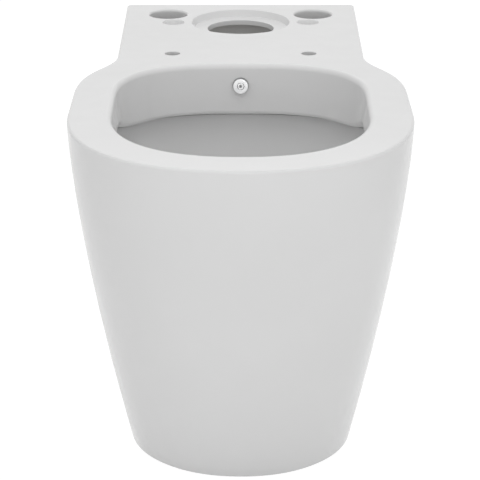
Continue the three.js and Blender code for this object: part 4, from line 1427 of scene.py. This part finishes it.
    def jet_cut(self) -> Piece:
        """Cutter for the jet's hole through its boss and the flat pad round it.

        Returns:
            The cutter.
        """
        bore, pad, bottom = self.jet_hole / 2, self.jet_pad / 2, -self.jet_boss_depth - CUT
        outline = [(0, bottom), (bore, bottom), (bore, 0), (pad, 0), (pad, CUT), (0, CUT)]
        return turned("jet_cut", outline, self.jet_place(), self.finishes.glaze)

    def fixing_place(self, side: int) -> Matrix:
        """Place of one side's floor fixing on the skirt.

        Args:
            side: -1 for the left one, 1 for the right one.

        Returns:
            Its origin on the spot face, with +Z out of the skirt.
        """
        half = blend(self.taper(self.fixing_height), self.top.deck_width, self.base.deck_width) / 2
        shift = at(side * (half - self.fixing_spot_depth), self.y(self.fixing_distance), self.fixing_height)
        return shift @ Matrix.Rotation(side * math.pi / 2, 4, "Y")

    def fixing_cut(self, side: int) -> Piece:
        """Cutter for one side's fixing hole and spot face.

        Args:
            side: -1 for the left one, 1 for the right one.

        Returns:
            The cutter.
        """
        hole, spot = self.fixing_hole / 2, self.fixing_spot / 2
        low, high = -self.wall - CUT, self.fixing_spot_depth + CUT
        outline = [(0, low), (hole, low), (hole, 0), (spot, 0), (spot, high), (0, high)]
        return turned("fixing_cut", outline, self.fixing_place(side), self.finishes.glaze)

    def build(self) -> None:
        """Models the whole casting and hands it to the frame."""
        plan, glaze, clay = self.mouth_plan(), self.finishes.glaze, self.finishes.clay
        pan = combine(self.outside(), self.hollow(), Join.CUT)
        half = self.jet_boss_width / 2
        boss = block("boss", (-half, -half, -self.jet_boss_depth), (half, half, -self.lip_thickness / 2))
        lumps = [
            combine(self.bowl(plan, self.wall), self.outside(), Join.COMMON), self.trap(self.wall, 0, clay),
            self.spigot(), *self.inlet_ways(self.duct_wall), coated(moved(boss, self.jet_place()), clay),
        ]
        cuts = [
            self.mouth(plan), self.bowl(plan, 0), self.rim_channel(plan), *self.inlet_ways(0),
            self.trap(0, CUT, glaze), *self.deck_cuts(), self.window(), self.jet_cut(),
            self.fixing_cut(-1), self.fixing_cut(1),
        ]
        for how, others in ((Join.ADD, lumps), (Join.CUT, cuts)):
            for other in others:
                combine(pan, other, how)
        with editing(pan):
            bpy.ops.mesh.select_all(action="SELECT")
            bpy.ops.mesh.dissolve_limited(angle_limit=TRUE_ANGLE, delimit={"MATERIAL"})
        fitted(pan, "ceramic_pan")


# Bidet jet


@dataclass
class BidetJet:
    """The chromed rosette in the rim wall, cupped over its seal, its insert, and what clamps it."""

    finishes: Finishes
    place: Matrix
    seal: float = 0.0016
    seal_diameter: float = 0.017
    flange_diameter: float = 0.0186
    flange_thickness: float = 0.003
    flange_taper: float = 0.001
    shank_diameter: float = 0.012
    shank_bore: float = 0.007
    shank_length: float = 0.074
    thread_pitch: float = 0.0014
    thread_depth: float = 0.0006
    thread_start: float = 0.050
    insert_diameter: float = 0.0087
    insert_depth: float = 0.007
    mouth: float = 0.0082
    groove_width: float = 0.0007
    groove_depth: float = 0.0016
    orifice: float = 0.0036
    orifice_depth: float = 0.0011
    pinhole: float = 0.0014
    throat: float = 0.0022
    # Shares of the way across and down the dish of the orifice
    dish: tuple[Pair, Pair] = ((0.3, 0.45), (0.7, 0.85))

    @property
    def seat(self) -> float:
        """Height of the flange's underside above the wall."""
        return GAP + self.seal + GAP

    @property
    def face(self) -> float:
        """Height of the flange's face above the wall."""
        return self.seat + self.flange_thickness

    def rosette(self) -> Piece:
        """Cupped flange and threaded shank in one turned piece, with an undercut pocket for the insert.

        Returns:
            The solid, upright on the Z axis.
        """
        flange, shank, pocket = self.flange_diameter / 2, self.shank_diameter / 2, self.insert_diameter / 2 + GAP
        bore, crown, cup = self.shank_bore / 2, flange - self.flange_taper, self.seal_diameter / 2 + GAP
        face, mouth = self.face, self.mouth / 2
        under, bottom = face - self.groove_depth + GAP, face - self.insert_depth
        low, high = -self.shank_length + self.flange_taper, -self.thread_start
        turns = round((high - low) / self.thread_pitch)
        return spun("jet_rosette", [
            (bore, -self.shank_length),
            *thread(shank, self.thread_depth, low, high, turns, (high - low) / turns / 2),
            (shank, high + self.flange_taper), (shank, self.seat), (cup, self.seat), (cup, GAP),
            (flange - NICK, GAP), (flange, GAP + NICK), (crown, face - GAP), (crown - NICK * 0.6, face - NICK),
            (crown - GAP, face), (mouth + NICK, face), (mouth, face - NICK), (mouth, under), (pocket, under),
            (pocket, bottom), (bore, bottom),
        ], TURN)

    def nozzle(self) -> Piece:
        """Insert with the orifice: a stepped head, a dished face and a pinhole over the wider throat.

        Returns:
            The solid, upright on the Z axis.
        """
        outer, throat = self.insert_diameter / 2, self.throat / 2
        orifice, pin = self.orifice / 2, self.pinhole / 2
        face, bottom = self.face, self.face - self.insert_depth + GAP
        head, shoulder = self.mouth / 2 - self.groove_width, face - self.groove_depth
        deep = face - self.orifice_depth
        return spun("jet_nozzle", [
            (throat, bottom), (outer, bottom), (outer, shoulder - NICK), (outer - NICK, shoulder), (head, shoulder),
            (head, face - NICK), (head - NICK, face), (orifice, face),
            *((blend(across, orifice, pin), blend(down, face, deep)) for across, down in self.dish),
            (pin, deep), (pin, deep - GAP), (throat, deep - throat),
        ], TURN)

    def dress(self, piece: Piece) -> None:
        """Dark polished chrome all over, painted shade that outlines the disc, and light satin chrome on the face, a
        painted highlight.

        Args:
            piece: a turned piece, still upright on the Z axis.
        """
        # Faces at the face's height take the light chrome, a painted highlight; all others take the dark chrome,
        # painted shade
        coated(piece, self.finishes.chrome)
        piece.data.materials.append(self.finishes.satin_lit_chrome)
        for polygon in piece.data.polygons:
            polygon.material_index = int(polygon.center.z > self.face - GAP / 2)

    def build(self) -> None:
        """Models the jet's pieces and hands them to the frame."""
        for piece, node in ((self.rosette(), "jet_body"), (self.nozzle(), "jet_insert")):
            self.dress(piece)
            fitted(moved(piece, self.place), node)
        rubber, steel, brass = self.finishes.rubber, self.finishes.steel, self.finishes.brass
        for part in (
            SmallPart("jet_flange_seal", "flange_seal_ring", rubber, "seal_rubber", easing=0.0003),
            SmallPart("jet_rear_seal", "rear_seal_ring", rubber, "seal_rubber", easing=0.0003),
            SmallPart("jet_slip_washer", "slip_washer", steel, "screw_steel", easing=0.0002),
            SmallPart("jet_backnut", "backnut", brass, "valve_brass", easing=0.0003),
        ):
            part.build()


# Water supply of the jet


@dataclass
class SupplyLine:
    """The copper pipe from the jet to the non-return valve, with its nuts and seals."""

    finishes: Finishes
    place: Matrix
    length: float
    height: float
    diameter: float = 0.010
    wall: float = 0.001
    bend: float = 0.020
    back: float = 0.179
    drop: float = 0.094
    offset: float = 0.080
    start: float = -0.077
    valve_top: float = 0.068
    valve_hang: float = 0.100
    socket: float = 0.012
    pipe_steps: int = 96

    def pipe(self) -> Piece:
        """The rigid pipe from the cone nut, down between the ducts and across to the valve.

        Returns:
            The solid.
        """
        start = self.place @ Vector((0, 0, self.start))
        toward = (self.place.to_3x3() @ Vector((0, 0, -1))).normalized()
        back, level = self.length / 2 - self.back, self.height - self.drop
        corners = [
            start, start + toward * ((back - start.y) / toward.y), Vector((0, back, level)),
            Vector((self.offset, back, level)),
            Vector((self.offset, back, level - self.valve_hang + self.valve_top - self.socket + GAP)),
        ]
        path = bent(corners, self.bend, self.pipe_steps)
        return piped("supply_pipe", path, self.diameter / 2, PIPE_SIDES, self.diameter / 2 - self.wall)

    def build(self) -> None:
        """Models the pipe, eases its fittings and hands them to the frame."""
        fitted(coated(self.pipe(), self.finishes.copper), "supply_tube")
        brass, rubber = self.finishes.brass, self.finishes.rubber
        for part in (
            SmallPart("supply_cone_nut", "cone_nut", brass, "valve_brass", easing=0.0004),
            SmallPart("supply_compression_nut", "compression_nut", brass, "valve_brass", easing=0.0004),
            SmallPart("supply_olive", "olive", brass, "valve_brass", easing=0.0002),
            SmallPart("supply_cone_seal", "cone_seal", rubber, "seal_rubber", easing=0.0002),
        ):
            part.build()


@dataclass
class NonReturnValve:
    """The sprung valve in the supply: housing, seat, guide, poppet and spring."""

    finishes: Finishes
    place: Matrix
    inlet_diameter: float = 0.0206
    inlet_length: float = 0.016
    across_flats: float = 0.024
    hex_top: float = 0.052
    hex_slope: float = 0.8
    outlet_diameter: float = 0.017
    length: float = 0.068
    chamber_bore: float = 0.0144
    chamber_top: float = 0.046
    port_bore: float = 0.008
    socket_bore: float = 0.0106
    socket_depth: float = 0.012
    thread_pitch: float = 0.0018
    thread_depth: float = 0.0008
    thread_lead: float = 0.25
    spring_diameter: float = 0.0074
    spring_wire: float = 0.0008
    spring_turns: int = 5
    spring_steps: int = 24
    spring_low: float = 0.0219
    spring_high: float = 0.0416
    easing: float = 0.00015

    def threaded(self, name: str, radius: float, low: float, high: float) -> Piece:
        """A threaded length of the housing's outside.

        Args:
            name: the piece's name.
            radius: the thread's outer radius.
            low: lower end.
            high: upper end.

        Returns:
            The solid.
        """
        depth, turns = self.thread_depth, int((high - low) / self.thread_pitch)
        outline = thread(radius, depth, low, high, turns, self.thread_pitch / 2, self.thread_lead)
        return spun(name, [(0, low), (radius - depth, low), *outline, (0, high)])

    def housing(self) -> Piece:
        """Body of the valve: inlet thread below, hexagon in the middle, outlet thread above.

        Returns:
            The solid.
        """
        body = self.threaded("valve_body", self.inlet_diameter / 2, 0, self.inlet_length + CUT / 2)
        flats = hexagon("flats", self.across_flats, self.inlet_length, self.hex_top, self.hex_slope)
        combine(body, flats, Join.ADD)
        outlet = self.threaded("outlet", self.outlet_diameter / 2, self.hex_top - CUT / 2, self.length)
        combine(body, outlet, Join.ADD)
        chamber, port, socket = self.chamber_bore / 2, self.port_bore / 2, self.socket_bore / 2
        ceiling, step, end = self.chamber_top, self.length - self.socket_depth, self.length + CUT
        bores = spun("bores", [
            (0, -CUT), (chamber, -CUT), (chamber, ceiling), (port, ceiling), (port, step), (socket, step),
            (socket, end), (0, end),
        ])
        return combine(body, bores, Join.CUT)

    def spring(self) -> Piece:
        """The coil between the poppet and the guide.

        Returns:
            The solid.
        """
        radius = (self.spring_diameter - self.spring_wire) / 2
        steps = self.spring_turns * self.spring_steps
        path = []
        for share in (i / steps for i in range(steps + 1)):
            angle = share * self.spring_turns * 2 * math.pi
            level = blend(share, self.spring_low, self.spring_high)
            path.append(Vector((radius * math.cos(angle), radius * math.sin(angle), level)))
        return piped("return_spring", path, self.spring_wire / 2, WIRE_SIDES)

    def build(self) -> None:
        """Models the valve and hands it to the frame."""
        brass, rubber, acetal = self.finishes.brass, self.finishes.rubber, self.finishes.acetal
        fitted(coated(moved(self.housing(), self.place), brass), "valve_housing")
        spring = coated(moved(self.spring(), self.place), self.finishes.steel)
        fitted(spring, "valve_spring")
        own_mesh(spring)
        for part in (
            SmallPart("valve_seat", "seat_ring", brass, "valve_brass", self.easing),
            SmallPart("valve_seal_ring", "seat_seal", rubber, "seal_rubber", self.easing),
            SmallPart("valve_guide", "stem_guide", acetal, "valve_plastic", self.easing),
            SmallPart("valve_poppet", "poppet_disc", acetal, "valve_plastic", self.easing, POPPET_BODY),
        ):
            part.build()


# Floor fixings


@dataclass
class FloorFixing:
    """One side's fixing: bracket on the floor, side screw in its bush, and a white cover cap."""

    finishes: Finishes
    place: Matrix
    word: str
    cap_diameter: float = 0.024
    cap_height: float = 0.008
    cap_wall: float = 0.0014
    # Share of the cap's radius that is left at the dome's shoulder, and the rise to there in wall thicknesses
    shoulder: float = 0.72
    dome: float = 1.85

    def cap(self) -> Piece:
        """The domed cap over the screw's head.

        Returns:
            The solid, upright on the Z axis.
        """
        outer, top, wall = self.cap_diameter / 2, GAP + self.cap_height, self.cap_wall
        side, crown, ceiling = top - wall * 2, outer * 0.35, outer * 0.6
        return spun(f"cover_cap_{self.word}", [
            (outer - wall, GAP), (outer - GAP, GAP), (outer, GAP * 2), (outer, side),
            *((outer * blend(1 - cosine, 1.0, self.shoulder), side + wall * self.dome * sine)
              for sine, cosine in quarter()),
            (crown, top - wall * 0.04), (0, top), (0, top - wall), (ceiling, top - wall * 1.15),
            (outer - wall, side - wall * 0.6),
        ], TURN)

    def build(self) -> None:
        """Models the fixing and hands it to the frame."""
        finishes, word = self.finishes, self.word
        fitted(coated(moved(self.cap(), self.place), finishes.cap), f"fixing_cap_{word}")
        for kind, material, slot, easing in (
            ("screw", finishes.steel, "screw_steel", 0.0003),
            ("bush", finishes.nylon, "bush_plastic", 0.0003),
            ("bracket", finishes.zinc, "bracket_steel", 0.0007),
        ):
            SmallPart(f"fixing_{kind}_{word}", f"side_{kind}_{word}", material, slot, easing).build()


# Camera, lights and floor


@dataclass
class Viewpoint:
    """The camera in front of the pan, looking down its length."""

    focal_pixels: float = 2310.0
    frame_pixels: float = 480.0
    centre_pixels: float = 240.63
    sensor_mm: float = 36.0
    pitch: float = 19.588
    height: float = 1.0805
    from_deck: float = 2.7779
    clip_end: float = 50.0

    def build(self) -> None:
        """Adds the camera and makes it the scene's."""
        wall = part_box("ceramic_pan")[1].y
        clear_selection()
        bpy.ops.object.camera_add(
            location=(0, wall - self.from_deck, self.height), rotation=(math.radians(90 - self.pitch), 0, 0))
        camera = bpy.context.view_layer.objects.active
        camera.name = "viewpoint"
        camera.data.sensor_width = self.sensor_mm
        camera.data.lens = self.focal_pixels / self.frame_pixels * self.sensor_mm
        camera.data.shift_x = (self.frame_pixels / 2 - self.centre_pixels) / self.frame_pixels
        camera.data.clip_end = self.clip_end
        bpy.context.scene.camera = camera


@dataclass
class Softbox:
    """A large soft lamp."""

    name: str
    place: Triple
    size: float
    power: float
    aim: Triple = (0, 0, 0.35)

    def build(self) -> None:
        """Adds the lamp, turned to what it lights."""
        clear_selection()
        turn = (Vector(self.aim) - Vector(self.place)).to_track_quat("-Z", "Y").to_euler()
        bpy.ops.object.light_add(type="AREA", location=self.place, rotation=turn)
        lamp = bpy.context.view_layer.objects.active
        lamp.name = self.name
        lamp.data.shape = "DISK"
        lamp.data.size = self.size
        lamp.data.energy = self.power


@dataclass
class Studio:
    """A plain pale floor, even light from all round and a few large soft lamps."""

    ambient: float = 0.47
    floor_size: float = 40.0
    floor_gap: float = 0.0002
    floor_tone: float = 0.94
    floor_glow: float = 1.12
    floor_share: float = 0.84

    def lit(self, node: bpy.types.Node, strength: float) -> Socket:
        """Sets a shader that gives light to plain white.

        Args:
            node: the shader.
            strength: its strength.

        Returns:
            Its output.
        """
        node.inputs["Color"].default_value = WHITE
        node.inputs["Strength"].default_value = strength
        return node.outputs[0]

    def world(self) -> None:
        """Soft light from all round, and white where the camera or a reflection sees past the floor."""
        world = bpy.data.worlds.new("studio")
        bpy.context.scene.world = world
        world.use_nodes = True
        tree = world.node_tree
        light = self.lit(tree.nodes["Background"], self.ambient)
        white = self.lit(tree.nodes.new("ShaderNodeBackground"), 1.0)
        self.mix_seen(tree, light, white, tree.nodes["World Output"].inputs["Surface"], 1.0)

    def mix_seen(self, tree: bpy.types.NodeTree, plain: Socket, seen: Socket,
                 target: Socket, share: float) -> None:
        """Swaps one shader for another where it is seen straight, in a reflection or through glass.

        Args:
            tree: the node tree.
            plain: the shader that lights the object.
            seen: the shader that is seen.
            target: the socket that gets the result.
            share: how much of the seen shader shows.
        """
        path = tree.nodes.new("ShaderNodeLightPath")
        rays = path.outputs["Is Camera Ray"]
        for ray in ("Is Glossy Ray", "Is Transmission Ray"):
            either = tree.nodes.new("ShaderNodeMath")
            either.operation = "MAXIMUM"
            tree.links.new(rays, either.inputs[0])
            tree.links.new(path.outputs[ray], either.inputs[1])
            rays = either.outputs[0]
        amount = tree.nodes.new("ShaderNodeMath")
        amount.operation = "MULTIPLY"
        amount.inputs[1].default_value = share
        tree.links.new(rays, amount.inputs[0])
        mix = tree.nodes.new("ShaderNodeMixShader")
        for i, source in enumerate((amount.outputs[0], plain, seen)):
            tree.links.new(source, mix.inputs[i])
        tree.links.new(mix.outputs[0], target)

    def floor(self) -> None:
        """The pale floor, which keeps a faint shadow of the pan."""
        clear_selection()
        bpy.ops.mesh.primitive_plane_add(size=self.floor_size)
        floor = moved(named("floor"), at(0, 0, -self.floor_gap))
        material = bpy.data.materials.new("pale_floor")
        material.use_nodes = True
        tree = material.node_tree
        shader = tree.nodes["Principled BSDF"]
        shader.inputs["Base Color"].default_value = (self.floor_tone,) * 3 + (1,)
        shader.inputs["Roughness"].default_value = 1.0
        shader.inputs["Specular IOR Level"].default_value = 0.0
        glow = self.lit(tree.nodes.new("ShaderNodeEmission"), self.floor_glow)
        self.mix_seen(
            tree, shader.outputs[0], glow, tree.nodes["Material Output"].inputs["Surface"], self.floor_share)
        floor.data.materials.append(material)

    def build(self) -> None:
        """Sets up the studio."""
        self.world()
        self.floor()
        for lamp in (
            Softbox("ceiling_lamp", (0, -0.2, 3.2), size=4.0, power=35.5, aim=(0, -0.2, 0)),
            Softbox("high_lamp", (0.15, -2.8, 2.2), size=1.6, power=4.4),
            Softbox("middle_lamp", (0.1, -3.2, 0.95), size=0.7, power=4.4),
            Softbox("low_lamp", (0.3, -3.0, 0.25), size=1.4, power=12.0, aim=(0, 0, 0.1)),
            Softbox("right_lamp", (2.4, -0.9, 1.0), size=1.6, power=2.0, aim=(0, -0.1, 0.25)),
            Softbox("left_lamp", (-2.4, -0.9, 1.0), size=1.6, power=1.8, aim=(0, -0.1, 0.25)),
            Softbox("back_lamp", (0, 2.4, 2.2), size=2.0, power=6.5, aim=(0, -0.1, 0.35)),
        ):
            lamp.build()


def main() -> None:
    """Builds the camera, the studio and every sub-assembly."""
    scene = bpy.context.scene
    scene.view_settings.view_transform = "Standard"
    Viewpoint().build()
    Studio().build()
    finishes = Finishes()
    casting = ChinaCasting(finishes)
    casting.build()
    BidetJet(finishes, casting.jet_place()).build()
    supply = SupplyLine(finishes, casting.jet_place(), casting.length, casting.height)
    supply.build()
    valve_level = casting.height - supply.drop - supply.valve_hang
    NonReturnValve(finishes, at(supply.offset, casting.y(supply.back), valve_level)).build()
    for side, word in ((-1, "left"), (1, "right")):
        FloorFixing(finishes, casting.fixing_place(side), word).build()


if __name__ == "__main__":
    main()
